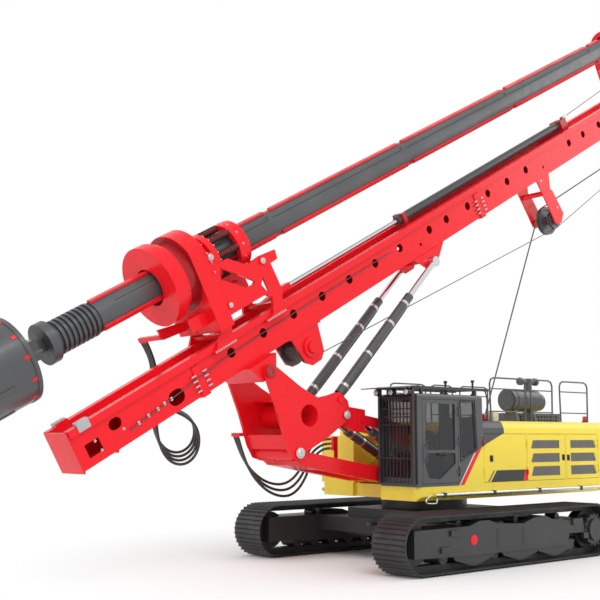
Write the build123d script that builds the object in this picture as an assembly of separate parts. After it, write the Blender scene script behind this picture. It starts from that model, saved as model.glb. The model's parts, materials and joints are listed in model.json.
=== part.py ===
from build123d import *
import math
import os

os.makedirs("parts", exist_ok=True)

# Rotary piling rig on tracks. Millimetres. +X is the front, +Y the cab side, +Z up.
# The origin is on the ground under the slewing axis.

# Undercarriage
SHOE_WIDTH = 800
TRACKS_OVER_ALL = 4680
TRACK_LENGTH = 6040
TRACK_HEIGHT = 1030
SHOE_COUNT = 71
LUG_HEIGHT = 34
SHOE_PLATE = 14
LINK_HEIGHT = 106
LINK_WIDTH = 210
FRAME_INSET = 95
FRAME_BOTTOM = 300
FRAME_TOP = 790
ROLLER_RADIUS = 112
ROLLER_COUNT = 9
FIT = 0.3
CARBODY_HALF = 900
CARBODY_BOTTOM = 430
CARBODY_TOP = 960
BEAM_OFFSET = 1150
BEAM_WIDTH = 520
RING_RADIUS = 850
TOW_X = 1530
TOW_Z = 700
TOW_HALF = 35
TOW_BORE = 42

# Upper structure
DECK_BOTTOM = 1190
DECK_TOP = 1440
BODY_HALF_WIDTH = 1500
CAB_FRONT = 1770
CAB_REAR = -50
CAB_INNER_SIDE = 556
CAB_TOP = 3130
CAB_ROUND = 60
CAB_WALL = 50
CENTRE_DECK_FRONT = 1350
RIGHT_FRONT = 1430
RIGHT_INNER_SIDE = 560
HOUSING_TOP = 2650
SHOULDER_DROP = 240
SHOULDER_IN = 105
HOUSING_REAR = -3900
TAIL_END = -4550
DOOR_GAP = 8
DOOR_THICKNESS = 40

# Boom arm, link and triangle, which keep the mast's angle as the arm moves
ARM_ROOT = (1100, 1640)
ARM_LENGTH = 2713
ARM_ANGLE = 8.9
ARM_HALF_WIDTH = 490
BRACKET_INNER = 498
BRACKET_OUTER = 545
PLATE_INNER = 521
PLATE_OUTER = 576
PIN_RADIUS = 85
PIN_CLEARANCE = 0.4
LINK_PIN = (-1113, 677)
MAST_PIN = (659, 1395)
CYLINDER_FOOT = (-973, 951)
LINK_OUTER = 490
LINK_INNER = 425
LINK_PIN_RADIUS = 55
LUFF_FOOT = (400, 1700)
LUFF_EYE_ALONG = 2227
LUFF_EYE_RISE = 0
LUFF_Y = 330

# Mast: places along it are measured from its first round hole, upwards
MAST_ELEVATION = 29.15
PIN_TO_HOLE_LINE = 576
PIN_ALONG = 416
MAST_HALF_WIDTH = 327
MAST_BACK = -370
MAST_FACE = 210
MAST_WALL = 20
RAIL_INNER = 250
RAIL_OUTER = 395
RAIL_FRONT = 310
MAST_FOOT_END = -3330
FLANGE_AT = -790
MID_FLANGE_AT = 7500
UPPER_FLANGE_AT = 13300
MAST_TOP = 19600
RAIL_TOP = 18600
HOLE_RADIUS = 85
CYLINDER_EYE_ALONG = 5430
CYLINDER_EYE_DEPTH = -600
CYLINDER_Y = 424.5
LUG_INNER = 300
LUG_OUTER = 349
KELLY_AXIS = 1583

# Rotary drive and kelly bar
KELLY_RADIUS = 260
KELLY_WALL = 24
KEY_RADIUS = 298
KELLY_BOTTOM = -1950
KELLY_TOP = 15400
DRIVE_BORE = 325
DISC_RADIUS = 700
BUCKET_RADIUS = 680
BUCKET_TOP = -3420
BUCKET_LENGTH = 1350
BUCKET_WALL = 25


def between(x_low, x_high, y_low, y_high, z_low, z_high):
    """A block between two limits on each axis."""
    middle = Pos((x_low + x_high) / 2, (y_low + y_high) / 2, (z_low + z_high) / 2)
    return middle * Box(x_high - x_low, y_high - y_low, z_high - z_low)


def slab(points, y_low, y_high):
    """A side-view outline of (x, z) points, thick from y_low to y_high."""
    outline = make_face(Polyline(*[(x, y_low, z) for x, z in points], close=True))
    return extrude(outline, amount=y_high - y_low, dir=(0, 1, 0))


def slab_x(points, x_low, x_high):
    """A front-view outline of (y, z) points, long from x_low to x_high."""
    outline = make_face(Polyline(*[(x_low, y, z) for y, z in points], close=True))
    return extrude(outline, amount=x_high - x_low, dir=(1, 0, 0))


def rounded_slab(points, radius, y_low, y_high):
    """A side-view outline with rounded corners, thick from y_low to y_high."""
    outline = make_face(FilletPolyline(*[(x, y_low, z) for x, z in points], radius=radius, close=True))
    return extrude(outline, amount=y_high - y_low, dir=(0, 1, 0))


def moved_in(points, gap):
    """A convex outline with each corner drawn this far towards its middle."""
    x_mid = sum(x for x, z in points) / len(points)
    z_mid = sum(z for x, z in points) / len(points)
    drawn = []
    for x, z in points:
        far = math.hypot(x - x_mid, z - z_mid)
        drawn.append((x - (x - x_mid) * gap / far, z - (z - z_mid) * gap / far))
    return drawn


def both_sides(shape):
    """A shape and its mirror image on the other side of the rig."""
    return [shape, mirror(shape, about=Plane.XZ)]


def across(x, z, radius, y_low, y_high):
    """A round bar across the rig."""
    return Pos(x, (y_low + y_high) / 2, z) * Rot(90, 0, 0) * Cylinder(radius, y_high - y_low)


def along(x_low, x_high, y, z, radius):
    """A round bar along the rig or, before it is placed, along the mast."""
    return Pos((x_low + x_high) / 2, y, z) * Rot(0, 90, 0) * Cylinder(radius, x_high - x_low)


def pipe(points, radius):
    """A bent round rail through the points, its corners mitred."""
    path = Polyline(*points)
    return sweep(path.location_at(0) * Plane.XY * Circle(radius), path=path, transition=Transition.RIGHT)


def fuse(pieces):
    """One solid from pieces that touch or overlap."""
    whole = pieces[0]
    for piece in pieces[1:]:
        whole = whole + piece
    return whole


def keep(name, *shapes):
    """Write one node's solids."""
    solids = [solid for shape in shapes for solid in shape.solids()]
    export_step(Compound(children=solids) if len(solids) > 1 else solids[0], f"parts/{name}.step")


def turned(point, angle):
    """A (x, z) point turned about the origin, from +X towards +Z."""
    c = math.cos(math.radians(angle))
    s = math.sin(math.radians(angle))
    return (point[0] * c - point[1] * s, point[0] * s + point[1] * c)


def plus(a, b):
    return (a[0] + b[0], a[1] + b[1])


def aimed(start, end, y):
    """The place and turn that lays a shape's own +X along the line from start to end."""
    angle = math.degrees(math.atan2(end[1] - start[1], end[0] - start[0]))
    return Pos(start[0], y, start[1]) * Rot(0, -angle, 0)


ARM_END = plus(ARM_ROOT, turned((ARM_LENGTH, 0), ARM_ANGLE))
LINK_ROOT = plus(ARM_ROOT, LINK_PIN)
LINK_END = plus(ARM_END, LINK_PIN)
MAST_HINGE = plus(ARM_END, MAST_PIN)
FOOT = plus(ARM_END, CYLINDER_FOOT)
MAST_ZERO = plus(MAST_HINGE, turned((PIN_ALONG, PIN_TO_HOLE_LINE), -MAST_ELEVATION))
MAST = Pos(MAST_ZERO[0], 0, MAST_ZERO[1]) * Rot(0, MAST_ELEVATION, 0)
MAST_EYE = plus(MAST_ZERO, turned((-CYLINDER_EYE_ALONG, CYLINDER_EYE_DEPTH), -MAST_ELEVATION))
LUFF_EYE = plus(LINK_ROOT, turned((LUFF_EYE_ALONG, LUFF_EYE_RISE), ARM_ANGLE))


def on_mast(s_low, s_high, y_low, y_high, h_low, h_high):
    """A block in the mast's own directions: s up the mast, h out of its front."""
    return MAST * between(-s_high, -s_low, y_low, y_high, h_low, h_high)


def round_on_mast(s_low, s_high, radius, h=KELLY_AXIS, y=0):
    """A round bar along the mast."""
    return MAST * along(-s_high, -s_low, y, h, radius)


def across_mast(s, h, radius, y_low, y_high):
    """A round bar across the mast."""
    return MAST * across(-s, h, radius, y_low, y_high)


def slab_on_mast(points, y_low, y_high):
    """An outline of (s, h) points, thick from y_low to y_high."""
    return MAST * slab([(-s, h) for s, h in points], y_low, y_high)


# Tracks
SIDE_MIDDLE = TRACKS_OVER_ALL / 2 - SHOE_WIDTH / 2
TIP_RADIUS = TRACK_HEIGHT / 2
WHEEL_X = TRACK_LENGTH / 2 - TIP_RADIUS
PLATE_RADIUS = TIP_RADIUS - LUG_HEIGHT
INNER_RADIUS = PLATE_RADIUS - SHOE_PLATE - LINK_HEIGHT


def loop_point(distance, radius):
    """A point of the track's loop, this far along the shoe plates, and its outward turn."""
    straight = 2 * WHEEL_X
    arc = math.pi * PLATE_RADIUS
    distance = distance % (2 * straight + 2 * arc)
    if distance < straight:
        return (-WHEEL_X + distance, TIP_RADIUS + radius)
    distance -= straight
    if distance < arc:
        turn = math.pi / 2 - distance / PLATE_RADIUS
        return (WHEEL_X + radius * math.cos(turn), TIP_RADIUS + radius * math.sin(turn))
    distance -= arc
    if distance < straight:
        return (WHEEL_X - distance, TIP_RADIUS - radius)
    distance -= straight
    turn = -math.pi / 2 - distance / PLATE_RADIUS
    return (-WHEEL_X + radius * math.cos(turn), TIP_RADIUS + radius * math.sin(turn))


def track(middle):
    """One loop of shoes, each plate with two cross bars, and its chain inside."""
    pitch = (4 * WHEEL_X + 2 * math.pi * PLATE_RADIUS) / SHOE_COUNT
    outline = []
    for shoe in range(SHOE_COUNT):
        for share, radius in ((0.12, PLATE_RADIUS), (0.19, TIP_RADIUS), (0.26, PLATE_RADIUS),
                              (0.62, PLATE_RADIUS), (0.69, TIP_RADIUS), (0.76, PLATE_RADIUS)):
            outline.append(loop_point((shoe + share) * pitch, radius))
    half = SHOE_WIDTH / 2
    shoes = slab(outline, middle - half, middle + half)
    under = PLATE_RADIUS - SHOE_PLATE
    shoes -= stadium(under, middle - half - 1, middle + half + 1)
    chain = stadium(under + 1, middle - LINK_WIDTH / 2, middle + LINK_WIDTH / 2)
    chain -= stadium(INNER_RADIUS, middle - LINK_WIDTH / 2 - 1, middle + LINK_WIDTH / 2 + 1)
    return shoes + chain


def stadium(radius, y_low, y_high):
    """A long round-ended block about both track wheels."""
    ends = [across(x, TIP_RADIUS, radius, y_low, y_high) for x in (-WHEEL_X, WHEEL_X)]
    middle = between(-WHEEL_X, WHEEL_X, y_low, y_high, TIP_RADIUS - radius, TIP_RADIUS + radius)
    return fuse([middle] + ends)


def track_frame(side):
    """One track frame with its rollers and their guards, front idler and final drive."""
    outer = side * (TRACKS_OVER_ALL / 2 - FRAME_INSET)
    inner = side * (TRACKS_OVER_ALL / 2 - SHOE_WIDTH + FRAME_INSET)
    y_low, y_high = min(outer, inner), max(outer, inner)
    middle = side * SIDE_MIDDLE
    low, high = FRAME_BOTTOM, FRAME_TOP
    body = slab([(2680, low + 10), (2680, high - 15), (1264, high - 10), (1000, high + 70), (720, high + 70),
                 (507, high), (-271, high - 40), (-583, high + 50), (-939, high + 70), (-1136, high),
                 (-1708, high - 60), (-2135, high - 25), (-2200, low + 180), (-1695, low + 190), (-1600, low - 27),
                 (1229, low - 27)], y_low, y_high)
    wheel = INNER_RADIUS - FIT
    pieces = [body]
    for x in (WHEEL_X, -WHEEL_X):
        pieces.append(across(x, TIP_RADIUS, wheel, middle - LINK_WIDTH / 2, middle + LINK_WIDTH / 2))
    pieces.append(between(-WHEEL_X, -2000, middle - 90, middle + 90, TIP_RADIUS - 120, TIP_RADIUS + 120))
    hub_end = outer + side * 60
    pieces.append(across(-WHEEL_X, TIP_RADIUS, 215, min(middle, hub_end), max(middle, hub_end)))
    pieces.append(across(-WHEEL_X, TIP_RADIUS, 285, min(middle, outer), max(middle, outer)))
    roller_z = TIP_RADIUS - INNER_RADIUS + FIT + ROLLER_RADIUS
    for i in range(ROLLER_COUNT):
        x = -1850 + i * 3700 / (ROLLER_COUNT - 1)
        pieces.append(across(x, roller_z, ROLLER_RADIUS, middle - 200, middle + 200))
    guard_y = sorted((outer - side * 70, outer - side * 30))
    for x in (1120, -200, -1250):
        pieces.append(slab([(x - 640, low + 60), (x - 500, low - 90), (x - 60, low - 205), (x + 60, low - 205),
                            (x + 500, low - 90), (x + 640, low + 60)], *guard_y))
    step_y = sorted((outer - side * 5, outer + side * 40))
    for x_low, x_high, z_low, z_high in ((1560, 1790, 640, 735), (1800, 2040, 370, 460), (-1950, -1770, 640, 760),
                                         (-2270, -2110, 370, 480)):
        pieces.append(between(x_low, x_high, *step_y, z_low, z_high))
    top_roller = 70
    for x in (-1552, -273, 1341):
        z = TIP_RADIUS + INNER_RADIUS - FIT - top_roller
        pieces.append(across(x, z, top_roller, middle - 120, middle + 120))
        pieces.append(between(x - 60, x + 60, middle - 60, middle + 60, high - 80, z))
    return fuse(pieces)


def carbody():
    """The centre frame with its cross beams and the lower half of the slewing ring."""
    inner = TRACKS_OVER_ALL / 2 - SHOE_WIDTH + FRAME_INSET
    centre = between(-1250, 1250, -CARBODY_HALF, CARBODY_HALF, CARBODY_BOTTOM, CARBODY_TOP)
    beams = [between(x - BEAM_WIDTH / 2, x + BEAM_WIDTH / 2, -inner + FIT, inner - FIT,
                     CARBODY_BOTTOM + 60, CARBODY_TOP - 180) for x in (-BEAM_OFFSET, BEAM_OFFSET)]
    ring = Pos(0, 0, (CARBODY_TOP + DECK_BOTTOM - 60) / 2) * Cylinder(RING_RADIUS, DECK_BOTTOM - 60 - CARBODY_TOP)
    body = fuse([centre] + beams + [ring])
    for end in (-1, 1):
        eye = Pos(end * TOW_X, 0, TOW_Z)
        lug = fuse([between(min(end * 1240, end * TOW_X), max(end * 1240, end * TOW_X), -90, 90,
                            TOW_Z - TOW_HALF, TOW_Z + TOW_HALF), eye * Cylinder(90, 2 * TOW_HALF)])
        body += lug - eye * Cylinder(TOW_BORE, 2 * TOW_HALF + 2)
    return body


keep("left_track", track(SIDE_MIDDLE))
keep("right_track", track(-SIDE_MIDDLE))
keep("left_track_frame", track_frame(1))
keep("right_track_frame", track_frame(-1))
keep("carbody", carbody())


# Upper structure
DECK_BEVEL = 80
DECK_CORNER = 150
RAIL_OUT = 32
SIDE_RAIL_RADIUS = 22
SIDE_RAIL_BRACKETS = (-3700, -2500, -1300, -100, 1100)


def platform():
    """The deck with the boom's brackets, its side rails and the upper half of the slewing ring."""
    deck = fuse([
        between(HOUSING_REAR, CENTRE_DECK_FRONT, -RIGHT_INNER_SIDE, CAB_INNER_SIDE, DECK_BOTTOM, DECK_TOP),
        between(HOUSING_REAR, CAB_FRONT, CAB_INNER_SIDE, BODY_HALF_WIDTH, DECK_BOTTOM, DECK_TOP),
        between(HOUSING_REAR, RIGHT_FRONT, -BODY_HALF_WIDTH, -RIGHT_INNER_SIDE, DECK_BOTTOM, DECK_TOP),
    ])
    bevel = slab_x([(BODY_HALF_WIDTH + 1, DECK_BOTTOM + DECK_BEVEL), (BODY_HALF_WIDTH + 1, DECK_BOTTOM - 1),
                    (BODY_HALF_WIDTH - DECK_BEVEL, DECK_BOTTOM - 1)], HOUSING_REAR - 1, CAB_FRONT + 1)
    deck = deck - both_sides(bevel)[0] - both_sides(bevel)[1]
    for x, side in ((CAB_FRONT, 1), (RIGHT_FRONT, -1)):
        middle = Pos(x - DECK_CORNER, side * (BODY_HALF_WIDTH - DECK_CORNER), (DECK_BOTTOM + DECK_TOP) / 2)
        corner = Pos(DECK_CORNER / 2, side * DECK_CORNER / 2, 0) * Box(DECK_CORNER + 2, DECK_CORNER + 2, 400)
        deck -= middle * (corner - Cylinder(DECK_CORNER, 410))
    ring_low = DECK_BOTTOM - 60 + FIT
    ring = Pos(0, 0, (ring_low + DECK_BOTTOM + 5) / 2) * Cylinder(RING_RADIUS + 20, DECK_BOTTOM + 5 - ring_low)
    plate = slab([(1320, DECK_TOP - 5), (1280, ARM_ROOT[1] + 120), (1000, ARM_ROOT[1] + 180),
                  (LINK_ROOT[0] + 160, LINK_ROOT[1] + 150), (LINK_ROOT[0] - 160, LINK_ROOT[1] + 150),
                  (LINK_ROOT[0] - 420, DECK_TOP - 5)], BRACKET_INNER, BRACKET_OUTER)
    pins = [across(*ARM_ROOT, PIN_RADIUS, -BRACKET_OUTER, BRACKET_OUTER),
            across(*LINK_ROOT, LINK_PIN_RADIUS, -BRACKET_OUTER, BRACKET_OUTER)]
    foot = between(LUFF_FOOT[0] - 110, LUFF_FOOT[0] + 110, LUFF_Y - 130, LUFF_Y - 90, DECK_TOP - 5, LUFF_FOOT[1] + 110)
    feet = both_sides(foot) + both_sides(Pos(0, 220, 0) * foot)
    feet.append(across(*LUFF_FOOT, 45, -LUFF_Y - 130, LUFF_Y + 130))
    rails = both_sides(side_rail())
    return fuse([deck, ring] + both_sides(plate) + pins + feet + rails)


def side_rail():
    """The tube along the deck's side on its brackets."""
    y, z = BODY_HALF_WIDTH + RAIL_OUT, DECK_BOTTOM + 95
    tube = along(HOUSING_REAR + 60, RIGHT_FRONT - 60, y, z, SIDE_RAIL_RADIUS)
    brackets = [between(x - 25, x + 25, BODY_HALF_WIDTH - 5, y, z - 15, z + 15) for x in SIDE_RAIL_BRACKETS]
    return fuse([tube] + brackets)


WINDOW_GAP = 0.4
WINDOW_ROUND = 45
DOOR_FRONT = 1640
DOOR_REAR = 660
DOOR_LOW = 1490
DOOR_HIGH = 3030
CAB_HINGES = (DOOR_REAR - 20, 1, (1700, 2255, 2810))
PANEL_THICKNESS = 38
# The housing's side panel reaches forward over the cab's rear lower corner, in this side view.
WEDGE = ((CAB_REAR - 20, DECK_TOP), (656, DECK_TOP), (217, 2026), (CAB_REAR, 2164), (CAB_REAR - 20, 2164))
# Window outlines: in side view the first four, in front view the others
SIDE_WINDOW = ((575, 3005), (204, 3005), (149, 2109), (575, 1922))
FAR_WINDOW = ((1600, 3005), (150, 3005), (150, 1900), (1600, 1900))
DOOR_UPPER = ((1550, 2950), (745, 2950), (745, 2100), (1565, 2100))
DOOR_LOWER = ((1570, 2045), (745, 2045), (745, 1850), (1178, 1570), (1480, 1600), (1565, 1817))
FRONT_WINDOW = ((CAB_INNER_SIDE + 80, 1600), (BODY_HALF_WIDTH - 80, 1600), (BODY_HALF_WIDTH - 80, 3005),
                (CAB_INNER_SIDE + 80, 3005))
REAR_WINDOW = ((CAB_INNER_SIDE + 120, 2720), (BODY_HALF_WIDTH - 120, 2720), (BODY_HALF_WIDTH - 120, 3005),
               (CAB_INNER_SIDE + 120, 3005))


def cab_shell():
    """The hollow cab with its window and door openings."""
    shell = between(CAB_REAR, CAB_FRONT, CAB_INNER_SIDE, BODY_HALF_WIDTH, DECK_TOP, CAB_TOP)
    top = [edge for edge in shell.edges() if edge.center().Z > CAB_TOP - 1]
    shell = fillet(top, radius=CAB_ROUND)
    shell -= between(CAB_REAR + CAB_WALL, CAB_FRONT - CAB_WALL, CAB_INNER_SIDE + CAB_WALL,
                     BODY_HALF_WIDTH - CAB_WALL, DECK_TOP + CAB_WALL, CAB_TOP - CAB_WALL)
    y = BODY_HALF_WIDTH
    shell -= slab([(DOOR_REAR, DOOR_LOW), (DOOR_FRONT, DOOR_LOW), (DOOR_FRONT, DOOR_HIGH), (DOOR_REAR, DOOR_HIGH)],
                  y - CAB_WALL - 20, y + 20)
    shell -= rounded_slab(SIDE_WINDOW, WINDOW_ROUND, y - CAB_WALL - 20, y + 20)
    shell -= rounded_slab(FAR_WINDOW, WINDOW_ROUND, CAB_INNER_SIDE - 20, CAB_INNER_SIDE + CAB_WALL + 20)
    shell -= slab_x(FRONT_WINDOW, CAB_FRONT - CAB_WALL - 20, CAB_FRONT + 20)
    shell -= slab_x(REAR_WINDOW, CAB_REAR - 20, CAB_REAR + CAB_WALL + 20)
    shell -= slab([(x + FIT, z + FIT) for x, z in WEDGE], y - PANEL_THICKNESS, y + 20)
    shell -= between(CAB_REAR - 1, WEDGE[1][0] + FIT, y - PANEL_THICKNESS, y + 20, DECK_TOP - 1, DECK_TOP + 2 * FIT)
    return fuse([shell] + knuckles(*CAB_HINGES)[1])


def cab_glass():
    """The fixed panes, each in the middle of its wall."""
    gap = WINDOW_GAP
    far = CAB_INNER_SIDE + CAB_WALL / 2
    panes = [rounded_slab(moved_in(SIDE_WINDOW, gap), WINDOW_ROUND, BODY_HALF_WIDTH - 30, BODY_HALF_WIDTH - 20),
             rounded_slab(moved_in(FAR_WINDOW, gap), WINDOW_ROUND, far - 5, far + 5)]
    for outline, x in ((FRONT_WINDOW, CAB_FRONT - CAB_WALL / 2), (REAR_WINDOW, CAB_REAR + CAB_WALL / 2)):
        panes.append(slab_x(moved_in(outline, gap), x - 5, x + 5))
    return panes


HINGE_OUT = 15
HINGE_RADIUS = 14
HINGE_LEAF = 8
FIXED_LEAF = 16


def knuckles(x, toward, heights):
    """The door's and the body's halves of a door's hinges, seen on the cab side.

    The door lies from x towards +X or -X, by the sign of toward.
    """
    y = BODY_HALF_WIDTH
    moving, fixed = [], []
    for z in heights:
        moving.append(Pos(x, y + HINGE_OUT, z) * Cylinder(HINGE_RADIUS, 80))
        moving.append(between(min(x, x + toward * 70), max(x, x + toward * 70), y + 0.5, y + HINGE_LEAF, z - 40, z + 40))
        moving.append(between(min(x + toward * 30, x + toward * 70), max(x + toward * 30, x + toward * 70),
                              y - 1, y + 1, z - 40, z + 40))
        for step in (-60.5, 60.5):
            fixed.append(Pos(x, y + HINGE_OUT, z + step) * Cylinder(HINGE_RADIUS, 40))
            fixed.append(between(min(x, x - toward * FIXED_LEAF), max(x, x - toward * FIXED_LEAF), y - 1, y + HINGE_LEAF,
                                 z + step - 20, z + step + 20))
    return moving, fixed


def cab_door():
    """The door's frame, the height of its opening, less its gap, with its two windows."""
    y = BODY_HALF_WIDTH
    frame = between(DOOR_REAR + DOOR_GAP, DOOR_FRONT - DOOR_GAP, y - CAB_WALL, y, DOOR_LOW + DOOR_GAP,
                    DOOR_HIGH - DOOR_GAP)
    frame -= rounded_slab(DOOR_UPPER, WINDOW_ROUND, y - 100, y + 10)
    frame -= rounded_slab(DOOR_LOWER, WINDOW_ROUND, y - 100, y + 10)
    handle = pipe([(DOOR_FRONT - 60, y - 2, 1900), (DOOR_FRONT - 60, y + 45, 1900), (DOOR_FRONT - 60, y + 45, 2200),
                   (DOOR_FRONT - 60, y - 2, 2200)], 10)
    return fuse([frame, handle] + knuckles(*CAB_HINGES)[0])


def cab_door_glass():
    y = BODY_HALF_WIDTH - CAB_WALL / 2
    return [rounded_slab(moved_in(DOOR_UPPER, WINDOW_GAP), WINDOW_ROUND, y - 5, y + 5),
            rounded_slab(moved_in(DOOR_LOWER, WINDOW_GAP), WINDOW_ROUND, y - 5, y + 5)]


GUARD_HEIGHTS = (1500, 1950, 2555, 2700, 2850, 3060)
GUARD_BARS = 9
ROOF_BARS = 8


def cab_guard():
    """The bars before the windscreen, the roof frame with its visor and lamps, and the pipe behind."""
    y_low, y_high = CAB_INNER_SIDE + 30, BODY_HALF_WIDTH - 30
    face = CAB_FRONT + 30
    roof = CAB_TOP + 85
    bars = [between(face, face + 30, y_low, y_high, z - 12, z + 12) for z in GUARD_HEIGHTS]
    bars += [between(face, face + 60, y, y + 50, 1500, roof + 20) for y in (y_low, y_high - 50)]
    for i in range(GUARD_BARS):
        y = y_low + (y_high - y_low) * (i + 1) / (GUARD_BARS + 1)
        bars.append(between(face + 6, face + 26, y - 7, y + 7, GUARD_HEIGHTS[0], GUARD_HEIGHTS[-1]))
    for y in (y_low, y_high - 50):
        bars.append(between(CAB_REAR - 250, face + 50, y, y + 50, roof, roof + 50))
        for x in (CAB_REAR + 120, CAB_FRONT - 200):
            bars.append(between(x, x + 60, y, y + 50, CAB_TOP - CAB_ROUND, roof + 20)
                        - between(x - 1, x + 61, y - 1, y + 51, CAB_TOP - CAB_ROUND - 1, CAB_TOP + FIT))
        for z in (1520, 3000):
            bars.append(between(CAB_FRONT + FIT, face + 20, y, y + 50, z, z + 60))
    for i in range(ROOF_BARS):
        x = CAB_REAR - 200 + i * 250
        bars.append(between(x, x + 60, y_low, y_high, roof + 12, roof + 38))
    bars.append(slab([(face - 120, roof + 60), (face + 480, roof + 5), (face + 480, roof - 12), (face - 120, roof + 40)],
                     y_low - 20, y_high + 20))
    for y in (y_low + 60, (y_low + y_high) / 2, y_high - 60):
        bars.append(along(face + 70, face + 170, y, roof - 62, 62))
        bars.append(between(face + 100, face + 140, y - 20, y + 20, roof - 20, roof + 20))
    y = BODY_HALF_WIDTH - SHOULDER_IN - 25
    bars.append(pipe([(CAB_REAR - 190, y, roof + 25), (CAB_REAR - 270, y, roof), (CAB_REAR - 310, y, roof - 130),
                      (CAB_REAR - 310, y, HOUSING_TOP + FIT)], 14))
    return fuse(bars)


SEAT_GAP = 42


def cab_interior():
    """The seat on its pedestal with two consoles, on the cab's floor."""
    floor = DECK_TOP + CAB_WALL + FIT
    middle = (CAB_INNER_SIDE + BODY_HALF_WIDTH) / 2
    half = (BODY_HALF_WIDTH - CAB_INNER_SIDE) / 2 - CAB_WALL - SEAT_GAP
    seat = half * 0.62
    return fuse([
        between(350, 900, middle - seat, middle + seat, floor, floor + 330),
        between(300, 900, middle - seat, middle + seat, floor + 300, floor + 450),
        between(220, 360, middle - seat, middle + seat, floor + 300, floor + 1100),
        between(350, 1000, middle - half, middle - seat - 10, floor + 400, floor + 620),
        between(350, 1000, middle + seat + 10, middle + half, floor + 400, floor + 620),
        between(400, 850, middle - half, middle + half, floor, floor + 420),
    ])


# Side doors: name, rear x, front x, +1 for a hinge at the front edge, and the vents' place and slant.
# Their outside is flush with the housing's side.
LEFT_DOORS = (("left_door_front", -1384, -76, 1, None), ("left_door_middle", -2684, -1416, 1, (-2490, -1560, 1)),
              ("left_door_rear", -3860, -2716, -1, (-3780, -2880, -1)))
RIGHT_DOORS = (("right_door_front", -2684, -1416, 1, (-2490, -1560, 1)),
               ("right_door_rear", -3860, -2716, -1, (-3780, -2880, -1)))
SIDE_DOOR_LOW = 1475
SIDE_DOOR_HIGH = 2404
VENT_ROWS = ((1564, 1753), (1834, 2012), (2110, 2275))
VENT_DEPTH = 14
VENT_SLATS = 4
VENT_SLANT = 75
HOUSING_WALL = 40
RIGHT_STEP_X = 900
RIGHT_STEP_TOP = 2360


def side_hinges(rear, front, end):
    """The place of a side door's hinges, which way the door lies from them, and their heights."""
    x = front + DOOR_GAP if end > 0 else rear - DOOR_GAP
    return x, -end, (SIDE_DOOR_LOW + 200, SIDE_DOOR_HIGH - 200)


def vents(low, high, slant):
    """The sunk vents of one door, each with its slats left standing."""
    y = BODY_HALF_WIDTH
    cuts = []
    for z_low, z_high in VENT_ROWS:
        if slant > 0:
            outline = [(low, z_low), (high, z_low), (high, z_low + 60), (high - VENT_SLANT, z_high), (low, z_high)]
        else:
            outline = [(low, z_low + 60), (low + VENT_SLANT, z_low), (high, z_low), (high, z_high), (low, z_high)]
        cut = slab(outline, y - VENT_DEPTH, y + 5)
        step = (z_high - z_low) / (VENT_SLATS + 1)
        for i in range(VENT_SLATS):
            z = z_low + step * (i + 1)
            cut -= between(low - 1, high + 1, y - VENT_DEPTH - 1, y - 3, z - 6, z + 6)
        cuts.append(cut)
    return cuts


def side_door(rear, front, end, vent, side):
    panel = between(rear + DOOR_GAP, front - DOOR_GAP, BODY_HALF_WIDTH - DOOR_THICKNESS, BODY_HALF_WIDTH,
                    SIDE_DOOR_LOW + DOOR_GAP, SIDE_DOOR_HIGH - DOOR_GAP)
    if vent:
        for cut in vents(*vent):
            panel -= cut
    panel = fuse([panel] + knuckles(*side_hinges(rear, front, end))[0])
    return panel if side > 0 else mirror(panel, about=Plane.XZ)


def body_profile(inner, wall=0, top=HOUSING_TOP):
    """The front view of a side housing, with its rounded shoulder, less its wall."""
    y, z = BODY_HALF_WIDTH - wall, top - wall
    fold = top - SHOULDER_DROP
    return [(inner + wall, DECK_TOP + wall), (y, DECK_TOP + wall), (y, fold), (y - 0.15 * SHOULDER_IN, fold + (z - fold) * 0.45),
            (y - 0.5 * SHOULDER_IN, fold + (z - fold) * 0.8), (y - SHOULDER_IN, z), (inner + wall, z)]


def housing(side, front, inner):
    """One side housing, hollow, with its door openings."""
    doors = LEFT_DOORS if side > 0 else RIGHT_DOORS
    w = HOUSING_WALL
    shell = slab_x(body_profile(inner), HOUSING_REAR, front)
    if side < 0:
        shell -= between(RIGHT_STEP_X, front + 1, inner - 1, BODY_HALF_WIDTH + 1, RIGHT_STEP_TOP, HOUSING_TOP + 1)
        shell -= slab_x(body_profile(inner, w), HOUSING_REAR + w, RIGHT_STEP_X - w)
        shell -= between(RIGHT_STEP_X - w - 1, front - w, inner + w, BODY_HALF_WIDTH - w, DECK_TOP + w,
                         RIGHT_STEP_TOP - w)
    else:
        shell -= slab_x(body_profile(inner, w), HOUSING_REAR + w, front - w)
        shell += slab(WEDGE, BODY_HALF_WIDTH - PANEL_THICKNESS + FIT, BODY_HALF_WIDTH)
    for name, rear, fore, end, vent in doors:
        shell -= between(rear, fore, BODY_HALF_WIDTH - w - 20, BODY_HALF_WIDTH + 20, SIDE_DOOR_LOW, SIDE_DOOR_HIGH)
        shell = fuse([shell] + knuckles(*side_hinges(rear, fore, end))[1])
    return shell if side > 0 else mirror(shell, about=Plane.XZ)


WINCH_AT = (-1450, 2300)
WINCH_DRUM = 300
WINCH_FLANGE = 400
WINCH_HALF = 380


def winch_frame():
    """The two cheeks and foot that carry the main drum."""
    cheek = slab([(WINCH_AT[0] - 500, DECK_TOP + FIT), (WINCH_AT[0] + 500, DECK_TOP + FIT),
                  (WINCH_AT[0] + 260, WINCH_AT[1] + 240), (WINCH_AT[0] - 260, WINCH_AT[1] + 240)],
                 WINCH_HALF + 20, WINCH_HALF + 80)
    foot = between(WINCH_AT[0] - 500, WINCH_AT[0] + 500, -WINCH_HALF - 70, WINCH_HALF + 70,
                   DECK_TOP + FIT, DECK_TOP + 80)
    axle = across(*WINCH_AT, 70, -WINCH_HALF - 70, WINCH_HALF + 70)
    return fuse(both_sides(cheek) + [foot, axle])


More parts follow.
